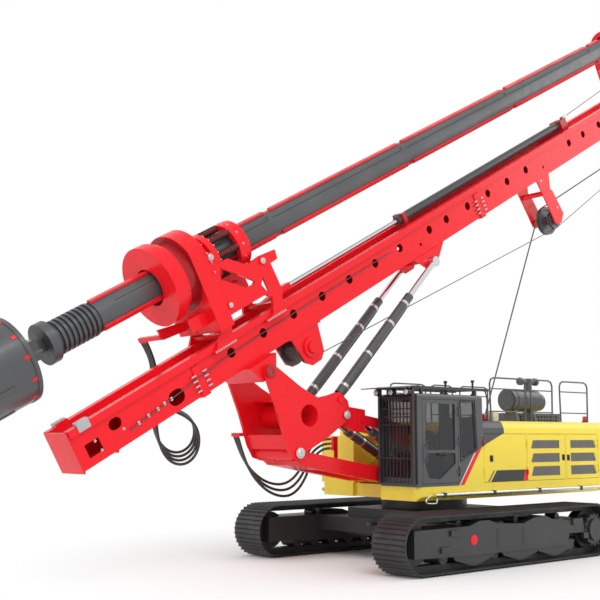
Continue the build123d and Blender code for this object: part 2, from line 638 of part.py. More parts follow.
def drum(at, radius, flange, half, bore):
    body = fuse([across(*at, radius, -half, half), across(*at, flange, -half, -half + 30),
                 across(*at, flange, half - 30, half)])
    return body - across(*at, bore, -half - 5, half + 5)


ENGINE_FRONT = -2300
REAR_BLOCK_TOP = 2700


TAIL_CORNER = 220


def counterweight():
    """The cast block across the tail, with the housings' shoulders and its lower edge cut up for the tail's swing."""
    half = body_profile(0)[1:-1]
    outline = [(0, DECK_BOTTOM + 20), (BODY_HALF_WIDTH, DECK_BOTTOM + 20)] + half[1:] + [(0, HOUSING_TOP)]
    block = slab_x(outline, TAIL_END, HOUSING_REAR - FIT)
    block = block + mirror(block, about=Plane.XZ)
    block -= slab([(TAIL_END - 1, DECK_BOTTOM), (TAIL_END + 220, DECK_BOTTOM), (TAIL_END - 1, DECK_BOTTOM + 240)],
                  -BODY_HALF_WIDTH - 1, BODY_HALF_WIDTH + 1)
    for side in (1, -1):
        middle = Pos(TAIL_END + TAIL_CORNER, side * (BODY_HALF_WIDTH - TAIL_CORNER), 1900)
        corner = Pos(-TAIL_CORNER / 2, side * TAIL_CORNER / 2, 0) * Box(TAIL_CORNER + 2, TAIL_CORNER + 2, 1700)
        block -= middle * (corner - Cylinder(TAIL_CORNER, 1710))
    return block


HOOD_TOP = 2850
HOOD_SLOTS = 15


def engine_hood():
    """The raised cover between the side housings, its sides and top slotted for air."""
    y_low, y_high = -RIGHT_INNER_SIDE + FIT, CAB_INNER_SIDE - FIT
    hood = slab([(HOUSING_REAR + 30, HOUSING_TOP - 80), (HOUSING_REAR + 30, HOOD_TOP), (-2150, HOOD_TOP),
                 (-1990, HOUSING_TOP - 80)], y_low, y_high)
    for i in range(HOOD_SLOTS):
        x = HOUSING_REAR + 150 + i * 105
        hood -= between(x, x + 60, y_low + 100, y_high - 100, HOOD_TOP - 20, HOOD_TOP + 1)
        for z in (HOUSING_TOP + 30, HOUSING_TOP + 105):
            for y in (y_low, y_high):
                hood -= between(x, x + 60, y - 20, y + 20, z, z + 40)
    return hood


RAIL_HIGH = 3500
RAIL_BARS = (2841, 3285)
RAILS = ((-1560, -470), (-2460, -1768), (-3720, -2760))


def handrails():
    """Guard rails round the roof of the housings, each with two cross bars and bent top corners."""
    rails = []
    foot = HOUSING_TOP + 1
    y = BODY_HALF_WIDTH - SHOULDER_IN - 25
    for side in (1, -1):
        for x_low, x_high in RAILS:
            bend = 110
            rail = pipe([(x_high, side * y, foot), (x_high + 20, side * y, RAIL_HIGH - bend),
                         (x_high - 20, side * y, RAIL_HIGH - 30), (x_high - bend, side * y, RAIL_HIGH),
                         (x_low + bend, side * y, RAIL_HIGH), (x_low + 20, side * y, RAIL_HIGH - 30),
                         (x_low - 20, side * y, RAIL_HIGH - bend), (x_low, side * y, foot)], 17)
            rails.append(fuse([rail] + [along(x_low - 8, x_high + 8, side * y, z, 13) for z in RAIL_BARS]))
    return rails


AIR_Y = 950
AIR_Z = 3092
AIR_RADIUS = 228


def air_cleaner():
    """The drum-shaped air cleaner on its feet, with its two-headed intake on top."""
    z = AIR_Z
    body = along(-2420, -1500, AIR_Y, z, AIR_RADIUS)
    front = along(-1510, -1470, AIR_Y, z, AIR_RADIUS - 25)
    rear = along(-2575, -2410, AIR_Y, z - 20, AIR_RADIUS - 45)
    neck = Pos(-2219, AIR_Y, z + 315) * Cylinder(85, 300)
    bar = along(-2440, -2000, AIR_Y, z + 402, 55)
    heads = [along(x - 35, x + 35, AIR_Y, z + 402, 80) for x in (-1969, -2469)]
    bands = [along(x - 15, x + 15, AIR_Y, z, AIR_RADIUS + 8) for x in (-1640, -1900)]
    feet = [slab_x([(AIR_Y - 190, HOUSING_TOP + FIT), (AIR_Y + 190, HOUSING_TOP + FIT), (AIR_Y + 90, z - 120),
                    (AIR_Y - 90, z - 120)], x - 25, x + 25) for x in (-2232, -1640)]
    return fuse([body, front, rear, neck, bar] + heads + bands + feet)


def engine():
    return between(-3500, -2400, -430, 430, DECK_TOP + FIT, 2450)


keep("platform", platform())
keep("cab_shell", cab_shell())
keep("cab_glass", *cab_glass())
keep("cab_door", cab_door())
keep("cab_door_glass", *cab_door_glass())
keep("cab_guard", cab_guard())
keep("cab_interior", cab_interior())
keep("left_housing", housing(1, CAB_REAR - 10, CAB_INNER_SIDE))
keep("right_housing", housing(-1, RIGHT_FRONT - 20, RIGHT_INNER_SIDE))
for name, rear, front, end, vent in LEFT_DOORS:
    keep(name, side_door(rear, front, end, vent, 1))
for name, rear, front, end, vent in RIGHT_DOORS:
    keep(name, side_door(rear, front, end, vent, -1))
keep("main_winch_frame", winch_frame())
keep("main_winch_drum", drum(WINCH_AT, WINCH_DRUM, WINCH_FLANGE, WINCH_HALF, 70 + PIN_CLEARANCE))
keep("counterweight", counterweight())
keep("engine_hood", engine_hood())
keep("engine", engine())
keep("handrails", *handrails())
keep("air_cleaner", air_cleaner())


# Hanging hydraulic hoses, in two bundles. The middle of each bundle hangs through these places: beside the arm in
# (x, z, how far out of the bundle's plane), from the triangle's bar to the side of the arm, where its hoses end one
# over another, and beside the mast in (s, h), from the drive's bar to the mast's. The mast's bundle hangs outside the
# arm's and passes it as the mast tilts.
HOSE = 50
HOSE_SPREAD = 70
HOSE_STEP = 52
HOSE_STACK = 90
HOSE_END_RADIUS = 29
HOSE_END = 60
ARM_HOSE_Y = 694
ARM_HOSES = ((4200, 2338, 0), (4112, 2120, 0), (3990, 1880, 0), (3800, 1640, 0), (3520, 1440, 0), (3190, 1345, 35),
             (2880, 1360, 90), (2620, 1480, 155), (2410, 1655, 220), (2260, 1840, 270), (2135, 2000, 320),
             (2020, 2130, 255), (1960, 2210, 100), (1960, 2210, -94))
ARM_BAR_END = 85
MAST_HOSE_Y = 910
MAST_HOSES = ((-742, 640), (-727, 380), (-797, 110), (-962, -210), (-1137, -520), (-1262, -820), (-1292, -1110),
              (-1202, -1360), (-992, -1510), (-732, -1500), (-532, -1330), (-472, -1070), (-600, -820), (-810, -630),
              (-925, -375))
MAST_BAR_END = 110


def by_mast(s, h, y, lower):
    """A point from its place by the mast, hung lower."""
    point = (MAST * Pos(-s, y, h)).position
    return (point.X, point.Y, point.Z - lower)


def by_arm(x, z, out, y, lower):
    return (x, y - out, z - lower)


def routes(points, count, y, place, stack=0):
    """The points of hoses side by side, each hanging lower than the one before. A stack is how far apart they end,
    one over another, with straight last runs."""
    last = len(points) - (2 if stack else 1)
    found = []
    for i in range(count):
        apart = i - (count - 1) / 2
        own = []
        for k, row in enumerate(points):
            share = min(1, k / last)
            lower = apart * (HOSE_SPREAD * math.sin(math.pi * share) + stack * share)
            beside = apart * HOSE_STEP * (1 - share**4 if stack else 1)
            own.append(place(*row, beside - y, lower))
        found.append(own)
    return found


MAST_ROUTES = routes(MAST_HOSES, 4, MAST_HOSE_Y, by_mast)
ARM_ROUTES = routes(ARM_HOSES, 3, ARM_HOSE_Y, by_arm, HOSE_STACK)


def hose_ends(paths, first):
    """The fittings that the hoses of a bundle come out of, at its first or its last points, each in its hose's line."""
    fittings = []
    for path in paths:
        a, b = (path[0], path[1]) if first else (path[-1], path[-2])
        plane = Plane(origin=a, z_dir=Vector(*a) - Vector(*b))
        fittings.append(plane * Pos(0, 0, HOSE_END / 2 + 2 * FIT) * Cylinder(HOSE_END_RADIUS, HOSE_END))
    return fittings


def hose(points, name):
    """One hose through its points, its radii and volume printed."""
    runs = [math.dist(a, b) for a, b in zip(points, points[1:])]
    radii = []
    for i in range(1, len(points) - 1):
        a, b, c = Vector(*points[i - 1]), Vector(*points[i]), Vector(*points[i + 1])
        turn = (b - a).get_angle(c - b)
        radii.append(0.45 * min(runs[i - 1], runs[i]) / math.tan(math.radians(turn) / 2))
    path = FilletPolyline(*points, radius=radii)
    tube = sweep(path.location_at(0) * Plane.XY * RegularPolygon(HOSE / 2, 8), path=path)
    area = 2 * math.sqrt(2) * (HOSE / 2) ** 2
    print(name, "length", round(path.length), "volume ratio", round(tube.volume / area / path.length, 4),
          "runs", [round(r) for r in runs], "least radius", round(min(radii)), "radii", [round(r) for r in radii])
    return tube


# Boom arm, link, triangle and luffing cylinders
def arm():
    """The box-shaped boom arm, with round ends bored for its pins, and the post and block that hold its hoses."""
    frame = aimed(ARM_ROOT, ARM_END, 0)
    w = ARM_HALF_WIDTH
    box = slab([(0, -130), (480, -226), (ARM_LENGTH - 170, -202), (ARM_LENGTH - 20, -125), (ARM_LENGTH, 110),
                (ARM_LENGTH - 280, 54), (640, 38), (0, 130)], -w, w)
    box -= between(650, ARM_LENGTH - 700, -w + 180, w - 180, -400, 400)
    shape = fuse([box, across(0, 0, 160, -w, w), across(ARM_LENGTH, 0, 150, -w, w)])
    for x in (0, ARM_LENGTH):
        shape -= across(x, 0, PIN_RADIUS + PIN_CLEARANCE, -w - 1, w + 1)
    x, z, _ = ARM_HOSES[-1]
    top = z + HOSE_STACK + 45
    post = slab([(x - 60, z - 576), (x + 20, z - 576), (x + 20, top), (x - 60, top)], -w - 25, -w + 5)
    block = between(x - 45, x + 45, -w - HOSE_END + 5, -w, z - HOSE_STACK - 45, top)
    return fuse([frame * shape, post, block] + hose_ends(ARM_ROUTES, False))


def upper_link():
    """Two link bars, braced by one cross tube."""
    frame = aimed(LINK_ROOT, LINK_END, 0)
    length = ARM_LENGTH
    bar = slab([(0, -90), (length, -90), (length, 90), (0, 90)], LINK_INNER, LINK_OUTER)
    bar = fuse([bar, across(0, 0, 110, LINK_INNER, LINK_OUTER), across(length, 0, 110, LINK_INNER, LINK_OUTER)])
    for x in (0, length):
        bar -= across(x, 0, LINK_PIN_RADIUS + PIN_CLEARANCE, LINK_INNER - 1, LINK_OUTER + 1)
    plate = slab([(LUFF_EYE_ALONG - 60, 190), (length - 60, 170), (length - 80, -190), (LUFF_EYE_ALONG + 160, -250),
                  (LUFF_EYE_ALONG - 120, -220)], LINK_INNER, LINK_OUTER)
    plate -= across(length, 0, 112, LINK_INNER - 1, LINK_OUTER + 1)
    head = across(LUFF_EYE_ALONG, 0, 52, LINK_OUTER - 5, LINK_OUTER + 25)
    tube = across(LUFF_EYE_ALONG - 700, 60, 28, -LINK_INNER - 5, LINK_INNER + 5)
    return frame * fuse(both_sides(fuse([bar, plate, head])) + [tube])


PIN_HEAD = 36


def triangle():
    """The two triangle plates with the cross tube, the braces and the pins that they carry."""
    e = ARM_END
    outline = [plus(e, p) for p in ((22, -130), (140, -96), (282, 133), (483, 699), (775, 1360), (760, 1470),
                                    (628, 1520), (486, 1466), (-36, 1153), (-303, 1026), (-454, 974), (-699, 1025),
                                    (-860, 1075), (-980, 1079), (-1168, 933), (-1225, 690), (-1180, 590),
                                    (-1007, 481), (-665, 264), (-180, 20))]
    plate = slab(outline, PLATE_INNER, PLATE_OUTER)
    hole = plus(e, (-238, 654))
    plate -= across(*hole, 195, PLATE_INNER - 1, PLATE_OUTER + 1)
    tube = across(*hole, 225, -PLATE_INNER - 10, PLATE_INNER + 10)
    tube -= across(*hole, 195, -PLATE_OUTER, PLATE_OUTER)
    front = slab([plus(e, p) for p in ((225, 60), (320, 310), (290, 320), (195, 70))], -PLATE_INNER - 5, PLATE_INNER + 5)
    top = slab([plus(e, p) for p in ((-700, 840), (150, 900), (150, 925), (-700, 865))],
               -PLATE_INNER - 5, PLATE_INNER + 5)
    pins = [across(*e, PIN_RADIUS, -PLATE_OUTER - PIN_HEAD, PLATE_OUTER + PIN_HEAD)]
    pins += both_sides(across(*LINK_END, LINK_PIN_RADIUS, LINK_INNER, PLATE_OUTER + PIN_HEAD))
    pins += both_sides(across(*FOOT, 60, CYLINDER_Y - 70, PLATE_OUTER + PIN_HEAD))
    pins += both_sides(across(*MAST_HINGE, 80, 420, PLATE_OUTER + PIN_HEAD))
    lug = slab([plus(e, p) for p in ((200, 290), (470, 290), (470, 350), (200, 350))], -ARM_HOSE_Y - ARM_BAR_END, -PLATE_INNER - 10)
    return fuse(both_sides(plate) + [tube, front, top, lug] + pins + hose_ends(ARM_ROUTES, True))


def barrel(foot, eye, y, radius, length, foot_half, foot_bore):
    """A cylinder's barrel from its foot pin, hollow for its rod."""
    frame = aimed(foot, eye, y)
    shape = fuse([along(150, length, 0, 0, radius), between(0, 200, -foot_half, foot_half, -60, 60),
                  across(0, 0, 95, -foot_half, foot_half)])
    shape -= across(0, 0, foot_bore + PIN_CLEARANCE, -foot_half - 1, foot_half + 1)
    return frame, shape


MAST_BARREL_RADIUS = 91
MAST_ROD_RADIUS = 60
MAST_BARREL_LENGTH = 2900
MAST_ROD_START = 900
MAST_ROD_ROOM = 785
LUFF_BARREL_RADIUS = 90
LUFF_ROD_RADIUS = 55
LUFF_BARREL_LENGTH = 1600
LUFF_ROD_START = 600
LUFF_ROD_ROOM = 60
GLAND = 80
ROD_CLEARANCE = 5


def cylinder_pair(foot, eye, y, radius, rod_radius, length, start, room, foot_half, foot_bore, eye_inner, eye_outer):
    """Barrels and rods of a pair of like cylinders. Each rod starts in its barrel with room to slide in."""
    frame, shape = barrel(foot, eye, y, radius, length, foot_half, foot_bore)
    shape -= along(start - room, length - GLAND, 0, 0, rod_radius + ROD_CLEARANCE)
    shape -= along(start, length + 1, 0, 0, rod_radius + PIN_CLEARANCE)
    reach = math.dist(foot, eye)
    rod = fuse([along(start, reach - 60, 0, 0, rod_radius), across(reach, 0, 105, eye_inner - y, eye_outer - y)])
    return both_sides(frame * shape), both_sides(frame * rod)


keep("boom_arm", arm())
keep("upper_link", upper_link())
keep("triangle_frame", triangle())
luff_barrels, luff_rods = cylinder_pair(LUFF_FOOT, LUFF_EYE, LUFF_Y, LUFF_BARREL_RADIUS, LUFF_ROD_RADIUS,
                                        LUFF_BARREL_LENGTH, LUFF_ROD_START, LUFF_ROD_ROOM, 80, 45, 260,
                                        LINK_INNER - 6)
keep("luff_barrels", *luff_barrels)
keep("luff_rods", *luff_rods)
mast_barrels, mast_rods = cylinder_pair(FOOT, MAST_EYE, CYLINDER_Y, MAST_BARREL_RADIUS, MAST_ROD_RADIUS,
                                        MAST_BARREL_LENGTH, MAST_ROD_START, MAST_ROD_ROOM, 65, 60,
                                        LUG_OUTER + ROD_CLEARANCE, CYLINDER_Y + 60)
keep("mast_barrels", *mast_barrels)
keep("mast_rods", *mast_rods)


# Mast
MIDDLE_HOLES = (0, 790, 1580, 2370, 3160, 3950, 4740, 5743, 6346, 7130)
UPPER_HOLES = (7920, 8700, 9489, 11460, 12140, 12930, 13720, 14510, 15300, 16090, 16880, 17670)
SMALL_HOLES = (((5346, -165),), ((10160, -165),))
COLLAR = 170
COLLAR_HALF = 352
COLLAR_OUT = 30
COLLAR_FACE = 140


def mast_section(s_low, s_high, holes, small, collars):
    """A hollow box section with its two guide rails, the holes in its sides and its end collars."""
    box = between(-s_high, -s_low, -MAST_HALF_WIDTH, MAST_HALF_WIDTH, MAST_BACK, MAST_FACE)
    rail = between(-min(s_high, RAIL_TOP), -s_low, RAIL_INNER, RAIL_OUTER, MAST_FACE - 20, RAIL_FRONT)
    rings = [between(-min(s_high, s + COLLAR / 2), -max(s_low, s - COLLAR / 2), -COLLAR_HALF, COLLAR_HALF,
                     MAST_BACK - COLLAR_OUT, COLLAR_FACE) for s in collars]
    box = fuse([box] + both_sides(rail) + rings)
    w = MAST_WALL
    box -= between(-s_high + 60, -s_low - 60, -MAST_HALF_WIDTH + w, MAST_HALF_WIDTH - w, MAST_BACK + w, MAST_FACE - w)
    for s in holes:
        box -= across(-s, 0, HOLE_RADIUS, -MAST_HALF_WIDTH - 1, MAST_HALF_WIDTH + 1)
    for s, h in small:
        box -= across(-s, h, 35, -MAST_HALF_WIDTH - 1, MAST_HALF_WIDTH + 1)
    return MAST * box


def long_hole(s, h, length, height):
    """A round-ended hole through both of the mast's sides, longest along the mast."""
    half = (length - height) / 2
    y = MAST_HALF_WIDTH + 1
    return MAST * fuse([across(-s - half, h, height / 2, -y, y), across(-s + half, h, height / 2, -y, y),
                        between(-s - half, -s + half, -y, y, h - height / 2, h + height / 2)])


def mast_foot():
    """The lowest section, with its long holes, the opening at its end, its stops and the hoses' lug."""
    section = mast_section(MAST_FOOT_END, FLANGE_AT, (), (), (FLANGE_AT,))
    section -= long_hole(-2530, 20, 240, 180)
    section -= long_hole(-1330, -150, 330, 250)
    section -= on_mast(-3150, -2880, -MAST_HALF_WIDTH - 1, MAST_HALF_WIDTH + 1, -240, -20)
    stops = both_sides(on_mast(-3147, -2930, RAIL_OUTER - 130, RAIL_OUTER + 10, MAST_FACE, RAIL_FRONT + 35))
    lug = slab_on_mast([(-2643, MAST_BACK + 5), (-2548, -492), (-2422, MAST_BACK + 5)], -60, 60)
    s, h = MAST_HOSES[-1]
    hose = [on_mast(s - 48, s + 35, -MAST_HOSE_Y - MAST_BAR_END, -MAST_HALF_WIDTH + 5, h + 14, h + 54)]
    plate = on_mast(MAST_FOOT_END - 25, MAST_FOOT_END + 5, -MAST_HALF_WIDTH - 25, MAST_HALF_WIDTH + 25, MAST_BACK - 25,
                    RAIL_FRONT - 10)
    return fuse([section, lug, plate] + stops + hose + hose_ends(MAST_ROUTES, False))


def mast_hinge():
    """The block behind the mast that turns on the triangle's pins, and the lugs of the mast cylinders."""
    s = PIN_ALONG
    deep = -PIN_TO_HOLE_LINE
    block = slab_on_mast([(s - 330, MAST_BACK - FIT), (s - 160, deep - 120), (s + 160, deep - 120),
                          (s + 330, MAST_BACK - FIT)], -PLATE_INNER + 12, PLATE_INNER - 12)
    block -= across_mast(s, deep, 80 + PIN_CLEARANCE, -PLATE_OUTER, PLATE_OUTER)
    return block


def mast_lugs():
    """The plates beside which the mast cylinders' rod eyes sit."""
    s, h = CYLINDER_EYE_ALONG, CYLINDER_EYE_DEPTH
    lug = slab_on_mast([(s - 420, MAST_BACK - FIT), (s - 130, h - 110), (s + 130, h - 110), (s + 560, MAST_BACK - FIT)],
                       LUG_INNER, LUG_OUTER)
    web = on_mast(s - 60, s + 60, -LUG_INNER - 5, LUG_INNER + 5, h + 20, MAST_BACK - FIT)
    return fuse(both_sides(lug) + [web])


SHEAVE_AT = (10031, -1419)
SHEAVE_RADIUS = 330
SMALL_SHEAVE_RADIUS = 210
SHEAVE_PLATE_Y = 330
HEAD_FRONT = (19600, 1233)
HEAD_REAR = (19600, -800)
HEAD_SHEAVE_RADIUS = 350
HEAD_SMALL_AT = (19250, 800)
AUX_AT = (1690, -710)
AUX_RADIUS = 200
AUX_FLANGE = 310
AUX_HALF = 260
ROPE_Y = 0
AUX_ROPE_Y = 210


def sheave(at, radius, half, bore, y=0):
    """A rope wheel: its section, with a V groove in the rim and a thinner web, turned about its pin."""
    web = half * 0.45
    section = [(bore, -half), (bore + 50, -half), (bore + 60, -web), (radius - 75, -web), (radius - 60, -half),
               (radius, -half), (radius, -half * 0.7), (radius - half, -6), (radius - half, 6), (radius, half * 0.7),
               (radius, half), (radius - 60, half), (radius - 75, web), (bore + 60, web), (bore + 50, half),
               (bore, half)]
    wheel = revolve(make_face(Polyline(*[(r, w, 0) for r, w in section], close=True)), axis=Axis.Y)
    return MAST * (Pos(-at[0], y, at[1]) * wheel)


def rear_bracket():
    """The two hooked arms that hang the rear sheaves behind the mast."""
    s, h = SHEAVE_AT
    arm = slab_on_mast([(s - 332, MAST_BACK - FIT), (s - 284, -404), (s - 170, -1132), (s - 130, h - 40), (s - 58, h - 118),
                        (s + 90, h - 130), (s + 283, h + 37), (s + 166, -784), (s + 104, -697), (s + 238, MAST_BACK - FIT)],
                       SHEAVE_PLATE_Y - 30, SHEAVE_PLATE_Y)
    pin = across_mast(s, h, 45, -SHEAVE_PLATE_Y, SHEAVE_PLATE_Y)
    tube = across_mast(s - 121, -724, 60, -SHEAVE_PLATE_Y + 5, SHEAVE_PLATE_Y - 5)
    spacers = [across_mast(s, h, 80, -SHEAVE_PLATE_Y + 5, -60), across_mast(s, h, 80, 60, AUX_ROPE_Y - 50)]
    return fuse(both_sides(arm) + [pin, tube] + spacers)


def mast_head():
    """The head that carries the rope wheels at the mast's top."""
    s = MAST_TOP
    inner = MAST_HALF_WIDTH + FIT
    plate = slab_on_mast([(s - 900, MAST_BACK), (s - 250, HEAD_REAR[1] - 180), (s + 200, HEAD_REAR[1] - 180),
                          (s + 420, -300), (s + 420, 500), (s + 200, HEAD_FRONT[1] + 160),
                          (s - 200, HEAD_FRONT[1] + 160), (s - 500, 900), (s - 900, RAIL_FRONT)], inner, inner + 30)
    plate -= slab_on_mast([(s - 350, -420), (s - 100, -560), (s + 150, -500), (s + 150, -120), (s - 350, -120)],
                          inner - 1, inner + 31)
    cap = on_mast(s + FIT, s + 100, -MAST_HALF_WIDTH, MAST_HALF_WIDTH, MAST_BACK, MAST_FACE)
    pins = [across_mast(*at, 45, -inner - 5, inner + 5) for at in (HEAD_FRONT, HEAD_REAR, HEAD_SMALL_AT)]
    return cap, fuse(both_sides(plate) + pins)


def crowd_barrel():
    """The crowd cylinder's barrel on the mast's face, with its end bracket."""
    shape = round_on_mast(5270, 11750, 100, h=430)
    shape -= round_on_mast(5270 + GLAND, 11500, 60, h=430)
    shape -= round_on_mast(5200, 11500, 50 + PIN_CLEARANCE, h=430)
    seat = on_mast(11650, 11900, -160, 160, MAST_FACE + FIT, 540)
    lower = on_mast(5350, 5450, -140, 140, MAST_FACE + FIT, 540)
    lower -= round_on_mast(5300, 5500, 80, h=430)
    return fuse([shape, seat, lower])


def aux_frame():
    """The cheeks of the auxiliary winch behind the mast, with their feet and gussets, and its motor's cover."""
    s, h = AUX_AT
    y = AUX_HALF + 10
    cheek = slab_on_mast([(s - 360, MAST_BACK - FIT), (s - 300, h + 40), (s - 250, h - 200), (s - 120, h - 310),
                          (s + 120, h - 310), (s + 250, h - 200), (s + 300, h + 40), (s + 360, MAST_BACK - FIT)], y, y + 30)
    foot = on_mast(s - 420, s + 420, y - 20, y + 50, MAST_BACK - 25, MAST_BACK - FIT)
    axle = across_mast(s, h, 50, -y - 20, y + 20)
    covers = [across_mast(s, h, 190, y + 25, y + 70), across_mast(s, h, 110, y + 65, y + 110)]
    return fuse(both_sides(cheek) + both_sides(foot) + [axle] + covers)


head_cap, head_frame = mast_head()
keep("mast_lower", mast_foot())
keep("mast_middle", mast_section(FLANGE_AT + FIT, MID_FLANGE_AT, MIDDLE_HOLES, SMALL_HOLES[0],
                                 (FLANGE_AT, MID_FLANGE_AT)))
keep("mast_upper", mast_section(MID_FLANGE_AT + FIT, MAST_TOP, UPPER_HOLES, SMALL_HOLES[1],
                                (MID_FLANGE_AT, UPPER_FLANGE_AT)))
keep("mast_hinge_block", mast_hinge())
keep("mast_lugs", mast_lugs())
keep("sheave_bracket", rear_bracket())
keep("mast_head", head_cap, head_frame)
keep("crowd_barrel", crowd_barrel())
keep("aux_winch_frame", aux_frame())
keep("aux_winch_drum", MAST * drum((-AUX_AT[0], AUX_AT[1]), AUX_RADIUS, AUX_FLANGE, AUX_HALF, 50 + PIN_CLEARANCE))
keep("rear_sheave", sheave(SHEAVE_AT, SHEAVE_RADIUS, 45, 45 + PIN_CLEARANCE))
keep("rear_small_sheave", sheave(SHEAVE_AT, SMALL_SHEAVE_RADIUS, 35, 45 + PIN_CLEARANCE, AUX_ROPE_Y))
keep("head_front_sheave", sheave(HEAD_FRONT, HEAD_SHEAVE_RADIUS, 45, 45 + PIN_CLEARANCE))
keep("head_rear_sheave", sheave(HEAD_REAR, HEAD_SHEAVE_RADIUS, 45, 45 + PIN_CLEARANCE))
keep("head_small_sheave", sheave(HEAD_SMALL_AT, SMALL_SHEAVE_RADIUS, 35, 45 + PIN_CLEARANCE, AUX_ROPE_Y))

# Rotary drive
CHEEK_INNER = 400
CHEEK_OUTER = 455
SHOE_PAD = 0.5
GEARBOX_RADIUS = 610
MOTOR_RADIUS = 110
CAGE_RADIUS = 455
CASE_LOW = -210
CASE_HIGH = 100
CASE_RADIUS = 690
CASE_HALF = 610


def carriage():
    """The sledge on the rails with its two open side frames and the rod's lug."""
    face = 150
    outline = [(-385, face), (-90, 465), (CASE_HIGH + FIT, 465), (CASE_HIGH + FIT, 1640), (264, 1735), (400, 1680),
               (449, 1597), (938, 1222), (1272, 1256), (1638, 1226), (1619, 1057), (1434, 1045), (1454, 515),
               (1330, 300), (1357, face)]
    plate = slab_on_mast(outline, CHEEK_INNER + SHOE_PAD, CHEEK_OUTER)
    for hole in ([(380, 1400), (960, 905), (900, 870), (724, 881), (310, 1216)],
                 [(190, 600), (1060, 600), (1180, 500), (1075, 243), (870, face - 1), (93, face - 1), (60, 250), (160, 480)],
                 [(1060, 790), (1160, 905), (1170, 640), (1120, 640)]):
        plate -= slab_on_mast(hole, CHEEK_INNER, CHEEK_OUTER + 5)
    plate -= round_on_mast(340, 1210, CAGE_RADIUS + 10)
    bosses = [across_mast(s, h, r, CHEEK_INNER + SHOE_PAD, CHEEK_OUTER + 30)
              for s, h, r in ((264, 1642, 75), (271, 755, 60), (1275, 1156, 70))]
    bridge = [on_mast(-130, -60, -CHEEK_INNER - 10, CHEEK_INNER + 10, 330, 400),
              on_mast(1190, 1300, -CHEEK_INNER - 10, CHEEK_INNER + 10, 330, 400)]
    bridge.append(across_mast(1275, 1156, 45, -CHEEK_INNER - 10, CHEEK_INNER + 10))
    claws = []
    for s_low, s_high in ((-385, 93), (870, 1357)):
        claws += both_sides(on_mast(s_low, s_high, MAST_HALF_WIDTH + 30, CHEEK_INNER + 10, face,
                                    MAST_FACE - 20 - SHOE_PAD))
    lug = slab_on_mast([(1200, 340), (1200, 400), (1800, 490), (1990, 490), (1990, 370), (1800, 370)], -60, 60)
    return fuse(both_sides(plate) + both_sides(bosses[0]) + both_sides(bosses[1]) + both_sides(bosses[2])
                + bridge + claws + [lug])


def gearbox():
    """The drive's arched casing and the gearbox in it, between the side frames, with two motors and the hoses' hook."""
    a = KELLY_AXIS
    case = round_on_mast(CASE_LOW, CASE_HIGH, CASE_RADIUS) & on_mast(CASE_LOW, CASE_HIGH, -CASE_HALF, CASE_HALF, a, 3000)
    case = fuse([case, on_mast(CASE_LOW, CASE_HIGH, -CASE_HALF, CASE_HALF, 470, a + 5),
                 round_on_mast(-430, CASE_LOW + 5, CASE_HALF - 40), round_on_mast(CASE_HIGH - 5, 330, 390)])
    case -= round_on_mast(-500, 400, DRIVE_BORE + 25)
    motors = [fuse([round_on_mast(CASE_HIGH - 5, 560, MOTOR_RADIUS, h=a - 600, y=y),
                    round_on_mast(555, 700, MOTOR_RADIUS - 35, h=a - 600, y=y)]) for y in (-250, 250)]
    bracket = on_mast(-566, CASE_LOW + 5, 330, 375, 640, 870)
    s, h = MAST_HOSES[0]
    hook = slab_on_mast([(s - 11, h + 200), (s + 18, h), (CASE_LOW + 5, h - 60), (CASE_LOW + 5, h + 100)], -375, -330)
    arm = on_mast(s - 30, s + 35, -MAST_HOSE_Y - MAST_BAR_END, -330, h + 22, h + 100)
    return fuse([case] + motors + [bracket, hook, arm] + hose_ends(MAST_ROUTES, True))


SPRINGS = 8


def sleeve():
    """The turning sleeve with the disc under the gearbox and the spring cage on top."""
    tube = round_on_mast(-560, 520, DRIVE_BORE + 20)
    disc = round_on_mast(-760, -560 + 5, DISC_RADIUS)
    dish = round_on_mast(-560, -430.5, DISC_RADIUS - 60)
    low = round_on_mast(345, 470, CAGE_RADIUS)
    top = round_on_mast(945, 1190, 440)
    posts = []
    for i in range(SPRINGS):
        a = 2 * math.pi * i / SPRINGS
        posts.append(round_on_mast(460, 955, 46, h=KELLY_AXIS + 385 * math.cos(a), y=385 * math.sin(a)))
    shape = fuse([tube, disc, dish, low, top] + posts)
    return shape - round_on_mast(-800, 1250, DRIVE_BORE)


keep("drive_carriage", carriage())
keep("drive_gearbox", gearbox())
keep("drive_sleeve", sleeve())
keep("crowd_rod", round_on_mast(1990 + FIT, 8250, 50, h=430))


KEY_POCKETS = (2000, 5980, 9910, 13810)
KEY_TURN = 105


def kelly_outer():
    """The outer tube with its three drive keys and its collar at the top."""
    tube = round_on_mast(KELLY_BOTTOM, KELLY_TOP, KELLY_RADIUS)
    keys = []
    for i in range(3):
        a = math.radians(KEY_TURN + 120 * i)
        key = between(-KELLY_TOP + 900, -KELLY_BOTTOM - 5, -45, 45, KELLY_RADIUS - 20, KEY_RADIUS)
        for s in KEY_POCKETS:
            key -= between(-s - 180, -s, -46, 46, KELLY_RADIUS + 5, KEY_RADIUS + 1)
        keys.append(MAST * (Pos(0, 0, KELLY_AXIS) * Rot(math.degrees(a), 0, 0) * key))
    collar = round_on_mast(KELLY_TOP - 260, KELLY_TOP, 380)
    return fuse([tube] + keys + [collar]) - round_on_mast(KELLY_BOTTOM - 1, KELLY_TOP - 200, KELLY_RADIUS - KELLY_WALL)


def kelly_inner():
    """The inner tube with the damper, its ring and the square stub at its foot."""
    inside = KELLY_RADIUS - KELLY_WALL - 0.5
    tube = round_on_mast(-2800, KELLY_TOP - 900, inside)
    ribs = [round_on_mast(s, s + 45, KELLY_RADIUS + 20) for s in range(-2680, -1990, 90)]
    ring = round_on_mast(-2930, -2780, 340)
    stub = on_mast(-3400, -2900, -100, 100, KELLY_AXIS - 100, KELLY_AXIS + 100)
    return fuse([tube, ring, stub] + ribs)


RIM_RADIUS = 696
WEAR_STRIPS = 8
GATE_HINGE = 736


